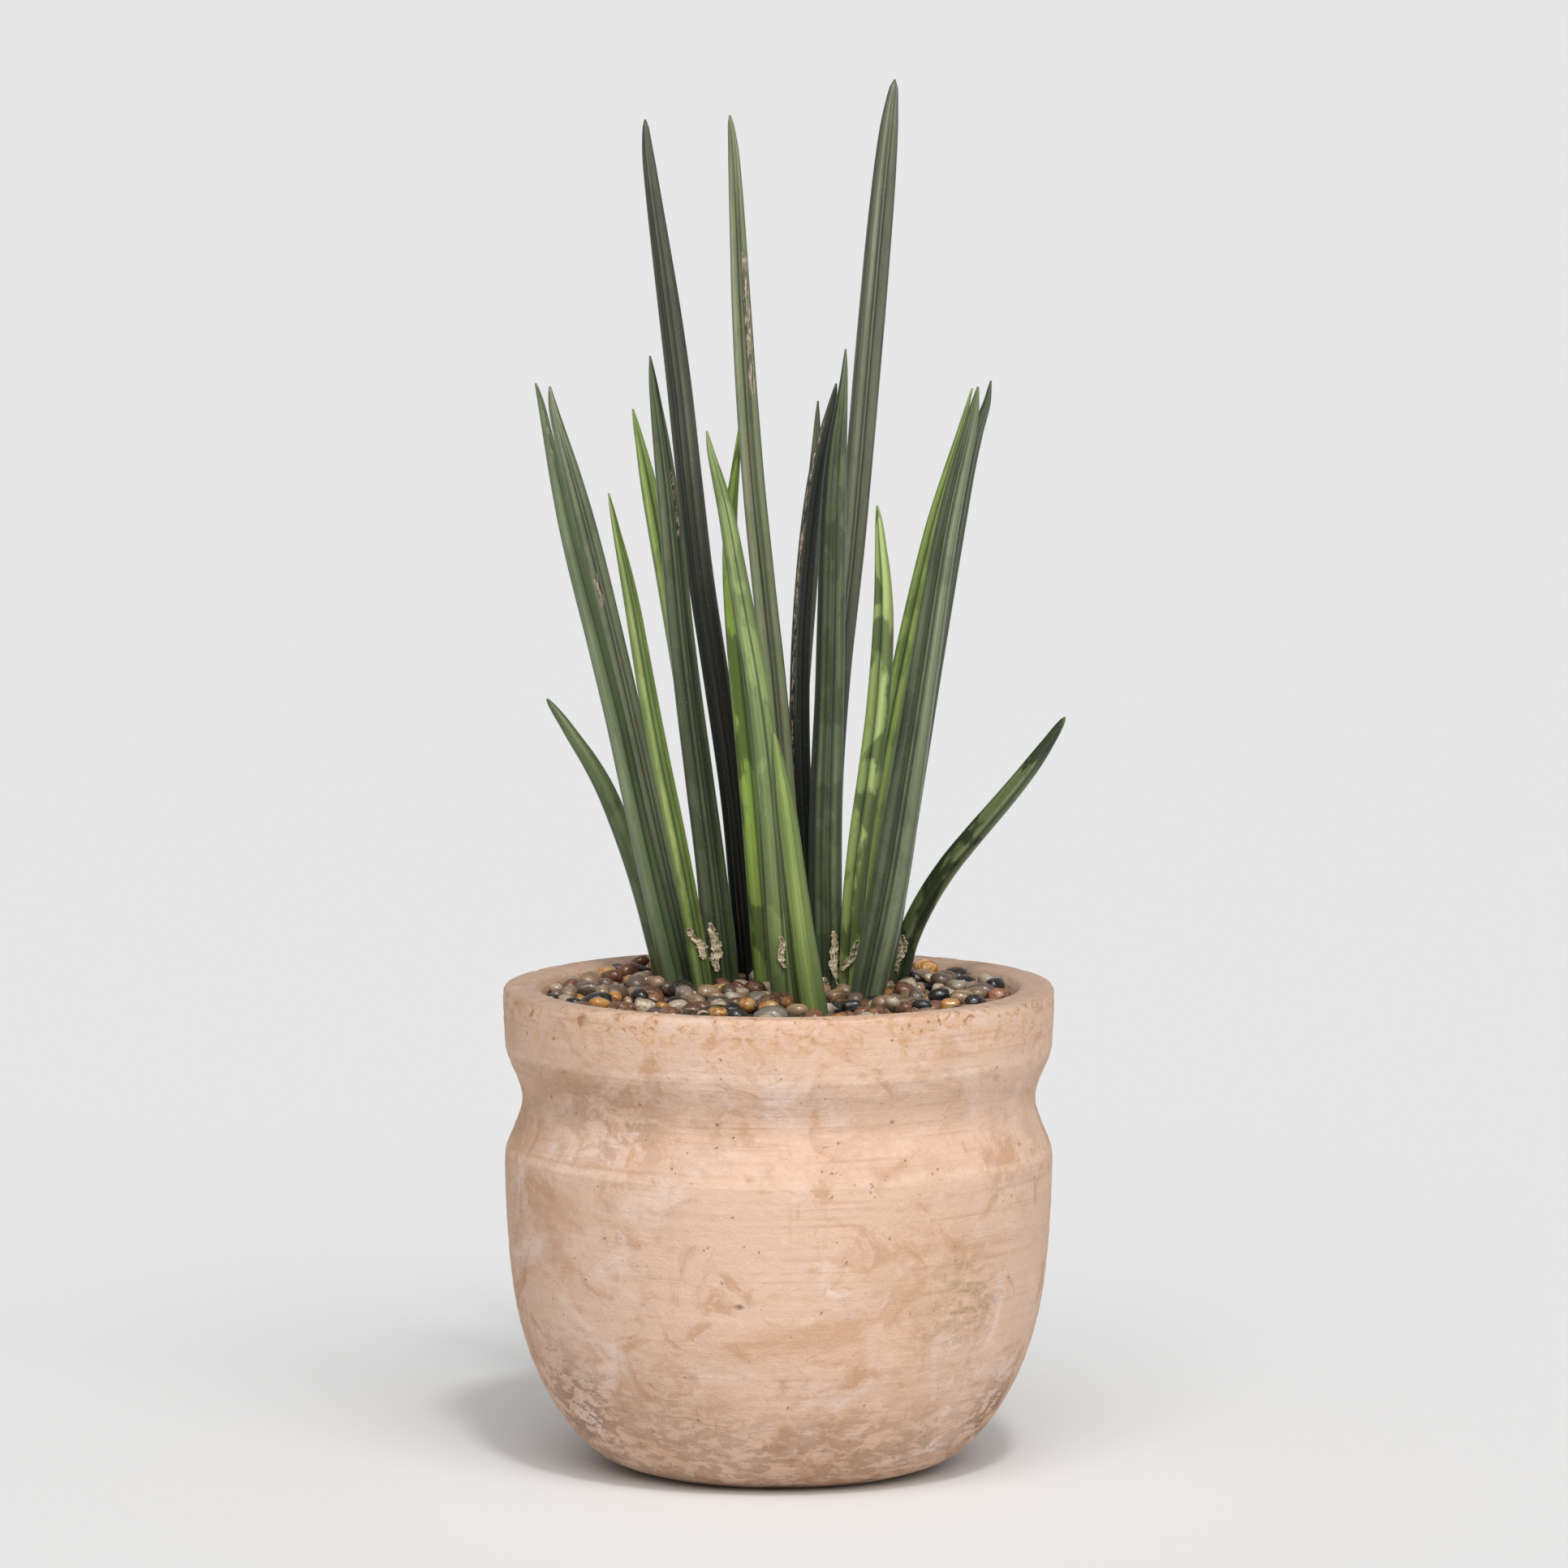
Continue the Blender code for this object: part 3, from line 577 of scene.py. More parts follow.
def clay_material():
    """Weathered, unglazed clay, its marks laid over one another from the ground tone to the grain."""
    material, tree, shader = new_material("weathered_clay")
    place = node(tree, "TexCoord").outputs["Object"]
    height = node(tree, "SeparateXYZ", {"Vector": place}).outputs["Z"]
    dirt = clouds(tree, stretched(tree, place, (1, 1, 1.6)), 48, 6, 0.7, 0.5)
    scuffs = clouds(tree, stretched(tree, place, (1, 1, 2.2)), 95, 7, 0.72, 0.4)
    colour, stains = clay_ground(tree, place)
    colour, wheel = wheel_lines(tree, place, colour)
    colour = neck_marks(tree, place, height, dirt, colour)
    colour = lip_marks(tree, place, height, colour)
    # Painted highlights on the neck's beads and painted shade on the rim's top.
    colour = bead_highlights_and_rim_shade(tree, place, height, dirt, colour)
    colour, scuffed = foot_scuffs(tree, place, height, scuffs, colour)
    colour, nick = belly_marks(tree, place, dirt, scuffs, colour)
    colour, flecks, grain, pitted = clay_grain(tree, place, dirt, colour)

    tree.links.new(colour, shader.inputs["Base Color"])
    rough = fade(tree, stains, 0.3, 0.7, 0.78, 0.92)
    tree.links.new(rough, shader.inputs["Roughness"])
    shader.inputs["Specular IOR Level"].default_value = 0.3

    relief = maths(tree, "ADD", product(tree, grain, 0.35), product(tree, wheel, 0.35))
    relief = maths(tree, "SUBTRACT", relief, product(tree, pitted, 0.6))
    relief = maths(tree, "SUBTRACT", relief, product(tree, scuffed, 0.6))
    relief = maths(tree, "ADD", relief, product(tree, maths(tree, "SUBTRACT", dirt, flecks), 0.5))
    relief = maths(tree, "SUBTRACT", relief, product(tree, nick, 1.5))
    bumped(tree, shader, relief, 0.0008)
    return material


# Leaves


def blade_rings(name):
    """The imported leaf's rings from foot to tip, as vectors (x, y, z, width), and its channel's bearing."""
    shape = merged_copy(name)
    tip = max(shape.verts, key=lambda corner: corner.co.z)
    ring = {corner for corner in shape.verts if (corner.co - tip.co).length < 0.0009}
    seen = set(ring)
    rings = []
    channel = Vector((0, 0, 0))
    while ring:
        centre = sum((corner.co for corner in ring), Vector()) / len(ring)
        reach = sorted((corner.co - centre).length for corner in ring)
        rings.append(Vector((*centre, 2 * sum(reach[1:]) / (len(reach) - 1))))
        nearest = min(ring, key=lambda corner: (corner.co - centre).length)
        channel += nearest.co - centre
        ring = {edge.other_vert(corner) for corner in ring for edge in corner.link_edges} - seen
        seen |= ring
    shape.free()
    return rings[::-1], math.atan2(channel.y, channel.x)


def blade_route(rings):
    """The leaf's rings joined by a smooth curve and spread over its rows, closer together at the tip."""
    points = [2 * rings[0] - rings[1], *rings, 2 * rings[-1] - rings[-2]]
    curve = []
    for before, start, end, after in zip(points, points[1:], points[2:], points[3:]):
        into = (end - before) * (end - start).length / (end - before).length
        out = (after - start) * (end - start).length / (after - start).length
        for step in range(10):
            t = step / 10
            curve.append(
                (2 * t**3 - 3 * t**2 + 1) * start + (t**3 - 2 * t**2 + t) * into
                + (3 * t**2 - 2 * t**3) * end + (t**3 - t**2) * out
            )
    curve.append(rings[-1])
    travelled = [0.0]
    for near, far in zip(curve, curve[1:]):
        travelled.append(travelled[-1] + (far.xyz - near.xyz).length)
    rows = []
    for row in range(BLADE_ROWS + 1):
        share = row / BLADE_ROWS
        wanted = travelled[-1] * (0.75 * share + 0.25 * math.sin(0.5 * math.pi * share))
        after = min(int(np.searchsorted(travelled, wanted)), len(curve) - 1)
        before = max(after - 1, 0)
        part = (wanted - travelled[before]) / max(travelled[after] - travelled[before], 1e-9)
        rows.append((curve[before].lerp(curve[after], part), wanted))
    return rows


class Blade:
    """A leaf's shape: where its surface is at a row and a bearing."""

    def __init__(self, name):
        rings, self.channel = blade_rings(name)
        self.name = name
        self.rows = blade_route(rings)
        self.length = self.rows[-1][1]
        self.fill_out()
        self.grooves = [(math.radians(b), depth, math.radians(w)) for b, depth, w in SKINS[name]["grooves"]]
        self.phase = random.Random(name).uniform(0, 40)

    def fill_out(self):
        """Widens the leaf a little and blunts its tip."""
        fullness, reach, power = SKINS[self.name].get("tip", USUAL_TIP)
        full = next(point.w for point, travelled in self.rows if travelled > self.length - reach)
        for point, travelled in self.rows:
            left = (self.length - travelled) / reach
            blunt = full * left**power if left < 1 else 0.0
            point.w = max(fullness * max(point.w, blunt), 0.0006)

    def tone_at(self, bearing, travelled):
        """How far the skin is painted towards shade or highlight at a bearing, with its own pale and dark
        lines, from -1 to 1.
        """
        tone = 0.0
        for number, (centre, width, strength) in enumerate(SKINS[self.name]["stripes"]):
            wander = 0.07 * noise.noise(Vector((self.phase, number * 3.1, travelled * 11)))
            fading = 0.75 + 0.5 * noise.noise(Vector((number * 5.3, self.phase, travelled * 23)))
            off = (bearing - math.radians(centre) - wander + math.pi) % math.tau - math.pi
            tone += 0.85 * strength * fading * math.exp(-((off / math.radians(width)) ** 2))
        return max(-1.0, min(1.0, tone))

    def frame_at(self, row):
        """Middle, radius, the two directions across the leaf and how far along it is, at a row."""
        point, travelled = self.rows[row]
        near = self.rows[max(row - 1, 0)][0].xyz
        far = self.rows[min(row + 1, len(self.rows) - 1)][0].xyz
        along = (far - near).normalized()
        across = (Vector((1, 0, 0)) - along * along.x).normalized()
        return point.xyz, 0.5 * point.w, across, along.cross(across), travelled

    def groove_at(self, bearing, travelled):
        """How deep in a groove a bearing is, and how much of the radius that takes away."""
        share = travelled / self.length
        ends = min(1.0, share / 0.10) * min(1.0, (1 - share) / 0.12)
        inside, cut = 0.0, 0.0
        for centre, depth, width in self.grooves:
            wander = 0.05 * noise.noise(Vector((self.phase, centre, travelled * 9)))
            off = (bearing - centre - wander + math.pi) % math.tau - math.pi
            weight = math.exp(-((off / width) ** 2)) * ends
            inside = max(inside, weight)
            cut += depth * weight
        off = (bearing - self.channel + math.pi) % math.tau - math.pi
        weight = math.exp(-((off / CHANNEL_WIDTH) ** 2)) * ends
        lip = math.exp(-(((abs(off) - 2 * CHANNEL_WIDTH) / CHANNEL_WIDTH) ** 2)) * ends
        return max(inside, 0.6 * weight**2), cut + CHANNEL_DEPTH * weight - 0.04 * lip

    def radius_share(self, bearing, travelled):
        """The radius at a bearing as a share of the full radius, and how deep in a groove it is."""
        inside, cut = self.groove_at(bearing, travelled)
        ribs = math.cos(13 * bearing + self.phase) + 0.8 * math.cos(21 * bearing + 2 * self.phase)
        level = Vector((math.cos(bearing), math.sin(bearing), 0))
        swell = 0.02 * noise.noise(level * 0.8 + Vector((self.phase, 0, travelled * 28)))
        return 1 - cut + RIB_HEIGHT * ribs + swell, inside

    def surface(self, row, bearing):
        """The point on the skin at a row and a bearing, and how deep in a groove it is."""
        middle, radius, across, away, travelled = self.frame_at(row)
        share, inside = self.radius_share(bearing, travelled)
        out = math.cos(bearing) * across + math.sin(bearing) * away
        return middle + radius * share * out, inside


def raise_cap(shape, cap):
    """Extrudes the cap that closes a solid's end, and returns the new cap."""
    closed = len(shape.faces) > 1
    grown = bmesh.ops.extrude_face_region(shape, geom=[cap])["geom"]
    if closed:
        bmesh.ops.delete(shape, geom=[cap], context="FACES_ONLY")
    return next(part for part in grown if isinstance(part, bmesh.types.BMFace))


def build_blade(blade):
    """A leaf: a foot circle raised row by row to the tip, with its grain written on its corners."""
    shape = bmesh.new()
    place = shape.verts.layers.float_vector.new("blade_place")
    groove = shape.verts.layers.float.new("blade_groove")
    tone = shape.verts.layers.float.new("blade_tone")
    bmesh.ops.create_circle(shape, cap_ends=True, segments=BLADE_SIDES, radius=1.0)
    cap = shape.faces[:][0]
    for row in range(len(blade.rows)):
        if row:
            cap = raise_cap(shape, cap)
        travelled = blade.rows[row][1]
        for side, corner in enumerate(cap.verts):
            bearing = math.tau * side / BLADE_SIDES
            corner.co, inside = blade.surface(row, bearing)
            corner[place] = (math.cos(bearing), math.sin(bearing), travelled)
            corner[groove] = inside
            corner[tone] = blade.tone_at(bearing, travelled)
    name = blade.name.replace("leaf_", "blade_")
    finish_piece(name, shape, skin_material(blade), [blade.name])


def skin_stripes(tree, given, place):
    """Stripes of painted shade and painted highlight, with the leaf's own pale and dark lines, broken by
    streaks, as (colour, streaks, fine streaks).
    """
    tone = written(tree, "blade_tone").outputs["Fac"]
    streaks = clouds(tree, stretched(tree, place, (4, 4, 5)), 1, 3, 0.6)
    fine = clouds(tree, stretched(tree, place, (17, 17, 22)), 1, 3, 0.6)
    uneven = maths(tree, "ADD", tone, fade(tree, streaks, 0.3, 0.7, -0.22, 0.22))
    uneven = maths(tree, "ADD", uneven, fade(tree, fine, 0.3, 0.7, -0.07, 0.07))
    colour = mix(tree, fade(tree, uneven, 0.0, -0.9), given["Skin"], given["Shade"])
    return mix(tree, fade(tree, uneven, 0.0, 0.95), colour, given["Bright"]), streaks, fine


def skin_bands(tree, given, place, colour):
    """Ragged cross-bands and a fine mottle, as (colour, mottle)."""
    banding = clouds(tree, stretched(tree, place, (0.35, 0.35, 40)), 1, 1, 0.5, 0.3)
    mottle = clouds(tree, stretched(tree, place, (2.2, 2.2, 130)), 1, 3, 0.6)
    edge = maths(tree, "ADD", banding, fade(tree, mottle, 0.3, 0.7, -0.05, 0.05))
    banded = product(tree, fade(tree, edge, 0.49, 0.58), given["Bands"], 0.85)
    colour = mix(tree, banded, colour, given["Shade"])
    return mix(tree, fade(tree, mottle, 0.52, 0.75, 0, 0.2), colour, given["Shade"]), mottle


def skin_depths(tree, given, along, colour):
    """A darker foot, painted near-black shade low in the clump where the leaf has it, and painted shade in
    the grooves and channel.
    """
    foot = fade(tree, along, 0.080, 0.022, 0, 0.45)
    colour = mix(tree, foot, colour, (0.034, 0.060, 0.025))
    # Painted shade, nearly black, below the share of the leaf's length that lies deep in the clump.
    deep_shade_start = maths(tree, "SUBTRACT", given["Deep Shade"], 0.09)
    deep_shade = node(tree, "MapRange", {"Value": along, "From Min": given["Deep Shade"], "From Max": deep_shade_start})
    colour = mix(tree, product(tree, deep_shade.outputs["Result"], 0.82), colour, (0.008, 0.009, 0.008))
    # Painted shade in the grooves and the channel.
    groove = written(tree, "blade_groove").outputs["Fac"]
    return mix(tree, product(tree, groove, 0.75), colour, GROOVE_SHADE_AND_SPECK)


def skin_specks(tree, place, colour):
    """Thin pale and dark dashes across the leaf."""
    spots = clouds(tree, stretched(tree, place, (13, 13, 1150)), 1, 1, 0.5)
    colour = mix(tree, fade(tree, spots, 0.735, 0.78, 0, 0.55), colour, (0.42, 0.46, 0.34))
    return mix(tree, fade(tree, spots, 0.27, 0.23, 0, 0.5), colour, GROOVE_SHADE_AND_SPECK)


def skin_scars(tree, given, grown, place, along, colour):
    """Corky, pale scars with a brown crust, as (colour, scars, their ragged height)."""
    hurt = facing(tree, grown, given["Scar Towards"], 0.93)
    low = maths(tree, "ADD", given["Scar Low"], 0.006)
    high = maths(tree, "SUBTRACT", given["Scar High"], 0.006)
    begun = fade(tree, along, given["Scar Low"], low)
    span = product(tree, begun, fade(tree, along, given["Scar High"], high))
    ragged = clouds(tree, stretched(tree, place, (9, 9, 230)), 1, 4, 0.65)
    scar = product(tree, hurt, span, fade(tree, ragged, 0.52, 0.57), given["Scarring"])
    crust = product(tree, hurt, span, fade(tree, ragged, 0.48, 0.42), given["Scarring"])
    colour = mix(tree, product(tree, crust, 0.7), colour, (0.05, 0.025, 0.018))
    return mix(tree, scar, colour, (0.62, 0.47, 0.38)), scar, ragged


def make_skin_group():
    """Snake plant skin: stripes of painted shade and painted highlight among its own pale and dark lines,
    streaks, cross-bands, specks, scars, a dark foot, painted near-black shade low in the clump and painted
    shade in the grooves.
    """
    inputs = {
        "Shade": "Color", "Skin": "Color", "Bright": "Color", "Bands": "Float", "Deep Shade": "Float",
        "Scar Towards": "Vector", "Scar Low": "Float", "Scar High": "Float", "Scarring": "Float",
        "Start": "Float",
    }
    outputs = {"Color": "Color", "Roughness": "Float", "Height": "Float"}
    tree, given, result = new_group("snake_plant_skin", inputs, outputs)
    grown = written(tree, "blade_place").outputs["Vector"]
    shift = node(tree, "CombineXYZ", {"X": given["Start"], "Y": given["Start"]}).outputs[0]
    place = node(tree, "VectorMath", {0: grown, 1: shift}, operation="ADD").outputs[0]
    along = node(tree, "SeparateXYZ", {"Vector": grown}).outputs["Z"]

    colour, streaks, fine = skin_stripes(tree, given, place)
    colour, mottle = skin_bands(tree, given, place, colour)
    colour = skin_depths(tree, given, along, colour)
    colour = skin_specks(tree, place, colour)
    colour, scar, ragged = skin_scars(tree, given, grown, place, along, colour)
    tree.links.new(colour, result["Color"])

    rough = maths(tree, "ADD", fade(tree, fine, 0.3, 0.7, 0.30, 0.42), product(tree, scar, 0.35))
    tree.links.new(rough, result["Roughness"])
    relief = maths(tree, "ADD", product(tree, fine, 0.6), product(tree, streaks, 0.5))
    relief = maths(tree, "ADD", relief, product(tree, mottle, 0.3))
    relief = maths(tree, "ADD", relief, product(tree, scar, ragged, 1.5))
    tree.links.new(relief, result["Height"])
    return tree


def skin_material(blade):
    look = SKINS[blade.name]
    material, tree, shader = new_material(blade.name.replace("leaf_", "skin_"))
    shade, skin, bright = look["colours"]
    scar = look["scar"] or (0, 0, 0)
    values = {
        "Shade": (*shade, 1), "Skin": (*skin, 1), "Bright": (*bright, 1),
        "Bands": look["bands"], "Deep Shade": look["deep_shade"] * blade.length - 0.001,
        "Scar Towards": compass(scar[0]), "Scar Low": scar[1] * blade.length,
        "Scar High": scar[2] * blade.length, "Scarring": 1.0 if look["scar"] else 0.0,
        "Start": blade.phase,
    }
    painted = tree.nodes.new("ShaderNodeGroup")
    painted.node_tree = skin_group
    for name, value in values.items():
        painted.inputs[name].default_value = value
    tree.links.new(painted.outputs["Color"], shader.inputs["Base Color"])
    tree.links.new(painted.outputs["Roughness"], shader.inputs["Roughness"])
    shader.inputs["Specular IOR Level"].default_value = 0.38
    bumped(tree, shader, painted.outputs["Height"], 0.00014)
    return material


# River pebbles


def stone_material():
    """Wet, water-worn stone, coloured by what is written on each stone's corners."""
    material, tree, shader = new_material("river_stone")
    place = written(tree, "stone_place").outputs["Vector"]
    first = written(tree, "stone_colour").outputs["Color"]
    second = written(tree, "stone_second").outputs["Color"]
    banded = written(tree, "stone_bands").outputs["Fac"]
    mottle = clouds(tree, place, 260, 5, 0.65, 0.8)
    layers = clouds(tree, stretched(tree, place, (60, 90, 900)), 1, 3, 0.6, 0.5)
    pattern = mix(tree, banded, fade(tree, mottle, 0.42, 0.62), fade(tree, layers, 0.44, 0.56))
    colour = mix(tree, pattern, first, second)
    grit = clouds(tree, place, 1500, 2, 0.6)
    colour = mix(tree, fade(tree, grit, 0.58, 0.70, 0, 0.35), colour, (0.05, 0.04, 0.035))
    colour = mix(tree, fade(tree, grit, 0.40, 0.30, 0, 0.22), colour, (0.70, 0.62, 0.50))
    tree.links.new(colour, shader.inputs["Base Color"])
    tree.links.new(fade(tree, mottle, 0.3, 0.7, 0.16, 0.32), shader.inputs["Roughness"])
    shader.inputs["Specular IOR Level"].default_value = 0.3
    shader.inputs["Coat Weight"].default_value = 0.6
    shader.inputs["Coat Roughness"].default_value = 0.05
    bumped(tree, shader, maths(tree, "ADD", mottle, product(tree, grit, 0.3)), 0.00016)
    return material


def stone_layers(shape):
    corners = shape.verts.layers
    return {
        "place": corners.float_vector.new("stone_place"),
        "colour": corners.float_color.new("stone_colour"),
        "second": corners.float_color.new("stone_second"),
        "bands": corners.float.new("stone_bands"),
    }


def tinted(colour, chance):
    """A stone's own tone of a kind's colour."""
    value = math.exp(chance.gauss(0, 0.22))
    warm = chance.uniform(-0.06, 0.06)
    red, green, blue = colour
    return min(1, red * value * (1 + warm)), min(1, green * value), min(1, blue * value * (1 - warm)), 1.0


def add_stone(shape, layers, kind, size, matrix, fineness, chance):
    """One stone: a ball, lumpy and a little squared, flattened to its size and laid in its place."""
    corners = bmesh.ops.create_icosphere(shape, subdivisions=fineness, radius=1.0)["verts"]
    first, second, banded, _ = STONE_KINDS[kind]
    first, second = tinted(first, chance), tinted(second, chance)
    bands = 1.0 if chance.random() < banded else chance.uniform(0, 0.15)
    seed = Vector((chance.uniform(-9, 9), chance.uniform(-9, 9), chance.uniform(-9, 9)))
    axis = Vector((1, chance.uniform(-1, 1), 0.4)).normalized()
    tilt = Matrix.Rotation(chance.uniform(0, math.pi), 3, axis)
    half = Vector(size) / 2
    for corner in corners:
        ball = corner.co.normalized()
        square = sum(abs(c) ** 2.6 for c in ball) ** (-1 / 2.6)
        lump = 1 + 0.16 * noise.noise(ball * 0.9 + seed) + 0.06 * noise.noise(ball * 2.3 + seed)
        local = Vector(a * b for a, b in zip(ball * square * lump, half))
        corner[layers["place"]] = tilt @ local + seed
        corner[layers["colour"]] = first
        corner[layers["second"]] = second
        corner[layers["bands"]] = bands
        corner.co = matrix @ local


class Bed:
    """The pebble bed's surface as a grid of heights, and which cells leaves and set stones take."""

    def __init__(self, blades):
        half = int(BED_REACH / GRID) + 8
        steps = np.arange(-half, half + 1) * GRID
        self.x, self.y = np.meshgrid(steps, steps, indexing="ij")
        self.half = half
        self.ground = np.full(self.x.shape, BED_FLOOR)
        self.taken = np.zeros(self.x.shape, bool)
        for blade in blades:
            row = min(range(len(blade.rows)), key=lambda i: abs(blade.rows[i][0].z - LEAF_EXIT))
            point = blade.rows[row][0]
            away = (self.x - point.x) ** 2 + (self.y - point.y) ** 2
            self.taken |= away < (0.5 * point.w - 0.0006) ** 2

    def patch(self, x, y, size, bearing):
        """The cells round a stone, which of them are under it, and its half thickness in each."""
        reach = int(max(size[:2]) / 2 / GRID) + 1
        i, j = int(round(x / GRID)) + self.half, int(round(y / GRID)) + self.half
        cells = (slice(max(i - reach, 0), i + reach + 1), slice(max(j - reach, 0), j + reach + 1))
        dx, dy = self.x[cells] - x, self.y[cells] - y
        c, s = math.cos(bearing), math.sin(bearing)
        away = ((dx * c + dy * s) / (size[0] / 2)) ** 2 + ((dy * c - dx * s) / (size[1] / 2)) ** 2
        return cells, away < 1, size[2] / 2 * np.sqrt(np.clip(1 - away, 0, 1))

    def rest(self, x, y, size, bearing):
        """The height at which a stone comes to rest, or None where there is no room."""
        if math.hypot(x, y) + 0.42 * max(size[:2]) > BED_REACH:
            return None
        cells, under, thick = self.patch(x, y, size, bearing)
        if (self.taken[cells] & under).sum() > 0.10 * under.sum():
            return None
        return float((self.ground[cells] + thick)[under].max()) - SETTLING * size[2]

    def lay(self, x, y, height, size, bearing, keep_clear=False):
        """Raises the ground to a stone's top; keep_clear lets no later stone lie on its thick part."""
        cells, under, thick = self.patch(x, y, size, bearing)
        top = np.where(under, height + thick, 0)
        self.ground[cells] = np.maximum(self.ground[cells], top)
        if keep_clear:
            self.taken[cells] |= under & (thick > 0.25 * size[2])


def bed_level(x, y):
    """How high the top of the pebbles lies, heaped a little at the back."""
    ripple = BED_RIPPLE * noise.noise(Vector((x, y, 0)) * 45)
    return BED_TOP + BED_HEAP * max(0.0, y + 0.02) + ripple


def lying(place, bearing, lean, chance):
    """How a stone lies: turned to its bearing and leaning a little at random."""
    tilt = Matrix.Rotation(chance.gauss(0, lean), 4, "X") @ Matrix.Rotation(chance.gauss(0, lean), 4, "Y")
    return Matrix.Translation(place) @ Matrix.Rotation(bearing, 4, "Z") @ tilt


def scatter(bed, chance, amount, layers, shape, level):
    """Drops small stones one by one, each where the bed is lowest among a few places tried, and leaves
    out those that would stand higher over the bed than the level.
    """
    weights = [kind[3] for kind in STONE_KINDS]
    for _ in range(amount):
        length = SMALL_STONE * math.exp(chance.gauss(0, 0.22))
        size = (length * 1.25, length * chance.uniform(0.85, 1.1), length * chance.uniform(0.62, 0.9))
        bearing = chance.uniform(0, math.pi)
        best = None
        for _ in range(PLACES_TRIED):
            radius, turn = BED_REACH * math.sqrt(chance.random()), chance.uniform(0, math.tau)
            x, y = radius * math.cos(turn), radius * math.sin(turn)
            height = bed.rest(x, y, size, bearing)
            if height is not None and (best is None or height - bed_level(x, y) < best[0]):
                best = (height - bed_level(x, y), x, y, height)
        if best is None or best[0] + 0.3 * size[2] > level:
            continue
        _, x, y, height = best
        bed.lay(x, y, height, size, bearing)
        matrix = lying((x, y, height), bearing, 0.22, chance)
        kind = chance.choices(range(len(STONE_KINDS)), weights)[0]
        add_stone(shape, layers, kind, size, matrix, 2, chance)


def build_pebbles(blades):
    """The bed: a lower layer, the larger numbered stones in their places, and small ones between them."""
    material = stone_material()
    bed = Bed(blades)
    chance = random.Random(41)
    shape = bmesh.new()
    layers = stone_layers(shape)
    scatter(bed, chance, LOWER_STONES, layers, shape, -0.004)
    for number, kind in enumerate(NUMBERED_STONES, 1):
        name = f"pebble_{number:02d}"
        build_numbered_stone(bed, name, kind, material, random.Random(number))
    scatter(bed, chance, UPPER_STONES, layers, shape, 0.0045)
    finish_piece("river_pebbles", shape, material, ["pebble_bed"])


def build_numbered_stone(bed, name, kind, material, chance):
    """A larger stone, with the length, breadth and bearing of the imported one."""
    points = np.array([corner.co for corner in nodes[name].data.vertices])
    low, high = points.min(0), points.max(0)
    middle = (low + high) / 2
    flat = points[:, :2] - middle[:2]
    turns = np.linalg.eigh(np.cov(flat.T))[1]
    bearing = math.atan2(turns[1, 1], turns[0, 1])
    along, across = flat @ turns[:, 1], flat @ turns[:, 0]
    size = (np.ptp(along), np.ptp(across), high[2] - low[2])
    bed.lay(middle[0], middle[1], middle[2], size, bearing, keep_clear=True)
    shape = bmesh.new()
    layers = stone_layers(shape)
    matrix = lying(middle, bearing, 0.08, chance)
    add_stone(shape, layers, kind, size, matrix, 4, chance)
    finish_piece(name.replace("pebble", "stone"), shape, material, [name])


# Dry sheaths


def sheath_material():
    """Dry, papery leaf sheath: cream with dark brown lengthwise streaks."""
    material, tree, shader = new_material("dry_sheath")
    place = written(tree, "sheath_place").outputs["Vector"]
    streaks = clouds(tree, stretched(tree, place, (2.2, 1.0, 1)), 1.7, 5, 0.7, 0.4)
    colour = mix(tree, fade(tree, streaks, 0.43, 0.50), (0.040, 0.022, 0.016), (0.85, 0.70, 0.46))
    patches = clouds(tree, place, 1.3, 3, 0.6)
    colour = mix(tree, fade(tree, patches, 0.54, 0.62, 0, 0.9), colour, (0.92, 0.84, 0.68))
    tree.links.new(colour, shader.inputs["Base Color"])
    tree.links.new(fade(tree, streaks, 0.3, 0.7, 0.6, 0.85), shader.inputs["Roughness"])
    bumped(tree, shader, streaks, 0.0004)
    return material


def build_sheath(name, blade, foot, top, width, material):
    """A ragged scrap of sheath that lies on the leaf's front and curls off it at its edges and top."""
    shape = bmesh.new()
    place = shape.verts.layers.float_vector.new("sheath_place")
    bmesh.ops.create_grid(shape, x_segments=10, y_segments=40, size=1.0)
    seed = Vector((foot[0], foot[1], 0))
    for corner in shape.verts:
        across, up = corner.co.x, 0.5 * (corner.co.y + 1)
        side = math.copysign(2, across)
        ragged = 1 + 0.5 * noise.noise(Vector((up * 8, side, 0)) + seed)
        ragged += 0.7 * noise.noise(Vector((up * 24, side, 5)) + seed)
        half = 0.0006 * width * (0.15 + 1.0 * math.sin(math.pi * (0.06 + 0.86 * up))) * ragged
        sway = 0.0008 * math.sin(up * 7 + seed.x)
        x = 0.001 * (foot[0] + (top[0] - foot[0]) * up) + half * across + sway
        height = 0.001 * (foot[1] + (top[1] - foot[1]) * up)
        row = min(range(len(blade.rows)), key=lambda i: abs(blade.rows[i][0].z - height))
        middle, radius = blade.rows[row][0].xyz, 0.5 * blade.rows[row][0].w
        aside = max(-0.97, min(0.97, (x - middle.x) / radius))
        y = middle.y - radius * math.sqrt(1 - aside**2) * 1.03
        curl = noise.noise(Vector((up * 8, across, 3)) + seed)
        lift = 0.0004 + 0.0008 * across**2 + 0.0016 * up**3 + 0.0005 * curl
        corner.co = (x, y - lift, height)
        corner[place] = (across * 1.6 + seed.x, up * 5, seed.y)
    bmesh.ops.recalc_face_normals(shape, faces=shape.faces)
    bmesh.ops.solidify(shape, geom=shape.faces[:], thickness=0.00022)
    finish_piece(name, shape, material, [])


# Soil and underground stems


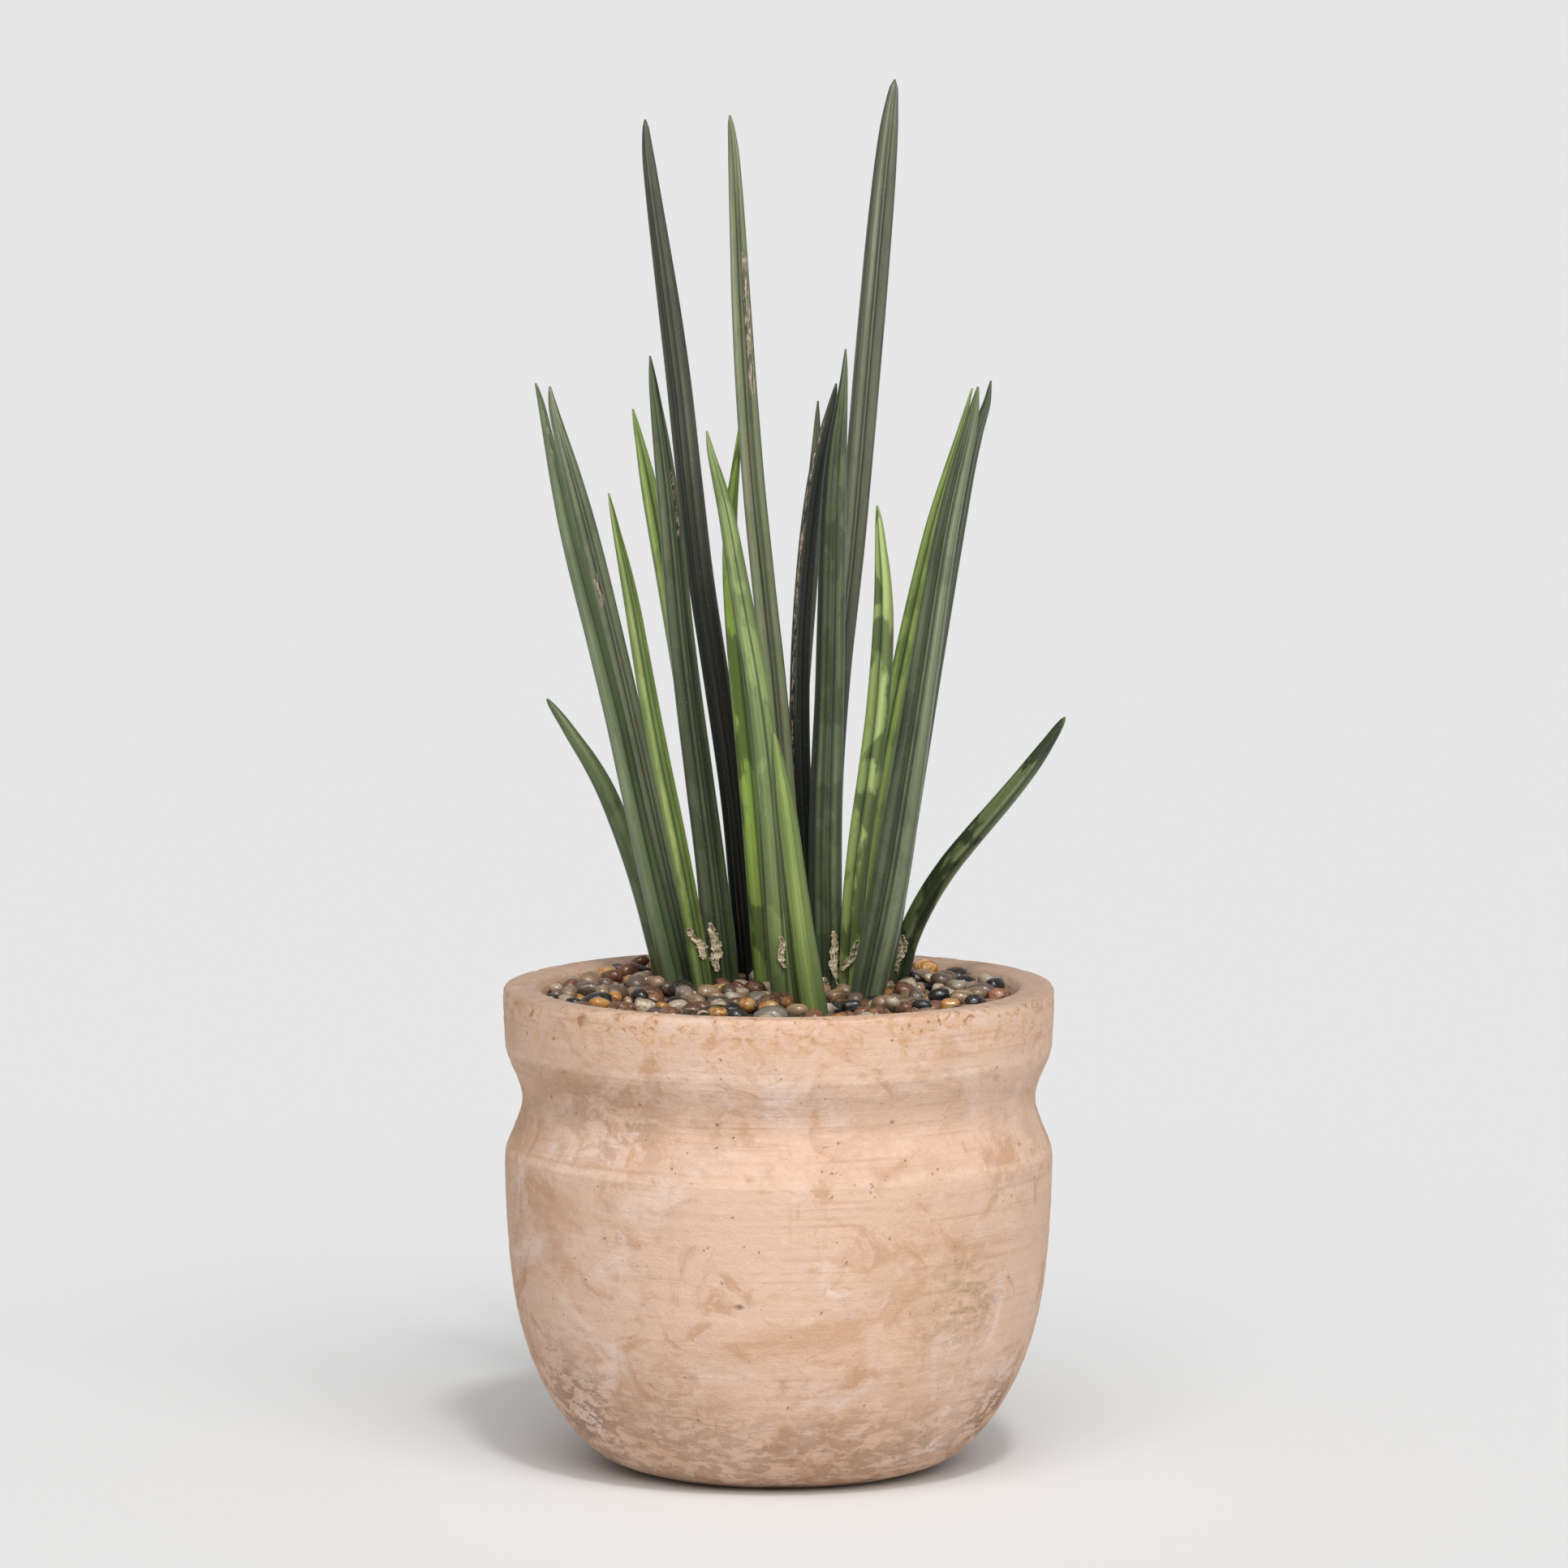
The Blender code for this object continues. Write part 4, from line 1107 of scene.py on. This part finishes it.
def earth_material(name, first, second, rough, lumps):
    """Crumbly or fibrous matter in two colours, with so many lumps per metre."""
    material, tree, shader = new_material(name)
    place = node(tree, "TexCoord").outputs["Object"]
    crumbs = clouds(tree, place, lumps, 6, 0.7, 0.6)
    fibre = clouds(tree, stretched(tree, place, (2, 2, 9)), lumps, 3, 0.6)
    colour = mix(tree, fade(tree, crumbs, 0.40, 0.64), first, second)
    colour = mix(tree, fade(tree, fibre, 0.60, 0.70, 0, 0.5), colour, (0.16, 0.10, 0.05))
    tree.links.new(colour, shader.inputs["Base Color"])
    tree.links.new(fade(tree, fibre, 0.3, 0.7, rough - 0.1, rough), shader.inputs["Roughness"])
    bumped(tree, shader, crumbs, 0.0012)
    return material


def dress_buried_parts():
    soil = earth_material("damp_soil", (0.018, 0.011, 0.007), (0.065, 0.042, 0.026), 0.95, 300)
    stem = earth_material("underground_stem", (0.42, 0.27, 0.12), (0.60, 0.46, 0.27), 0.7, 160)
    for name, packed in nodes.items():
        if name == "potting_soil" or name.startswith("rhizome"):
            packed.data.materials.clear()
            packed.data.materials.append(soil if name == "potting_soil" else stem)


# Stage


def build_floor():
    shape = bmesh.new()
    bmesh.ops.create_grid(shape, x_segments=1, y_segments=1, size=FLOOR_SIZE / 2)
    mesh = bpy.data.meshes.new("floor")
    shape.to_mesh(mesh)
    shape.free()
    material, _, shader = new_material("pale_floor")
    shader.inputs["Base Color"].default_value = FLOOR_COLOUR
    shader.inputs["Roughness"].default_value = 0.9
    shader.inputs["Specular IOR Level"].default_value = 0.1
    mesh.materials.append(material)
    floor = bpy.data.objects.new("floor", mesh)
    bpy.context.scene.collection.objects.link(floor)


def add_sun(name, strength, spread, bearing, climb):
    """A far, soft lamp at a bearing in degrees from +X and a climb above the floor."""
    light = bpy.data.lights.new(name, "SUN")
    light.energy = strength
    light.angle = math.radians(spread)
    lamp = bpy.data.objects.new(name, light)
    level = math.cos(math.radians(climb))
    side, front, _ = compass(bearing)
    towards = Vector((side * level, front * level, math.sin(math.radians(climb))))
    lamp.rotation_euler = towards.to_track_quat("Z", "Y").to_euler()
    bpy.context.scene.collection.objects.link(lamp)


def build_stage():
    """Floor, even sky, three soft lamps and the camera."""
    build_floor()
    world = bpy.data.worlds.new("soft_studio")
    world.use_nodes = True
    background = world.node_tree.nodes["Background"]
    background.inputs["Color"].default_value = (1, 1, 1, 1)
    background.inputs["Strength"].default_value = SKY_STRENGTH
    bpy.context.scene.world = world
    add_sun("front_lamp", *FRONT_LAMP)
    add_sun("side_lamp", *SIDE_LAMP)
    add_sun("spark_lamp", *SPARK_LAMP)
    data = bpy.data.cameras.new("camera")
    data.lens = CAMERA_LENS
    data.sensor_width = 36
    data.clip_end = 300
    camera = bpy.data.objects.new("camera", data)
    camera.location = CAMERA_PLACE
    camera.rotation_euler = (math.radians(90 - CAMERA_DIP), 0, 0)
    bpy.context.scene.collection.objects.link(camera)
    bpy.context.scene.camera = camera
    bpy.context.scene.view_settings.view_transform = "Standard"


POT_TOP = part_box("pot")[1].z
skin_group = make_skin_group()
build_stage()
build_pot()
blades = {name: Blade(name) for name in SKINS}
for blade in blades.values():
    build_blade(blade)
build_pebbles(blades.values())
dry = sheath_material()
for name, (leaf, foot, top, width) in SHEATHS.items():
    build_sheath(name, blades[leaf], foot, top, width, dry)
dress_buried_parts()
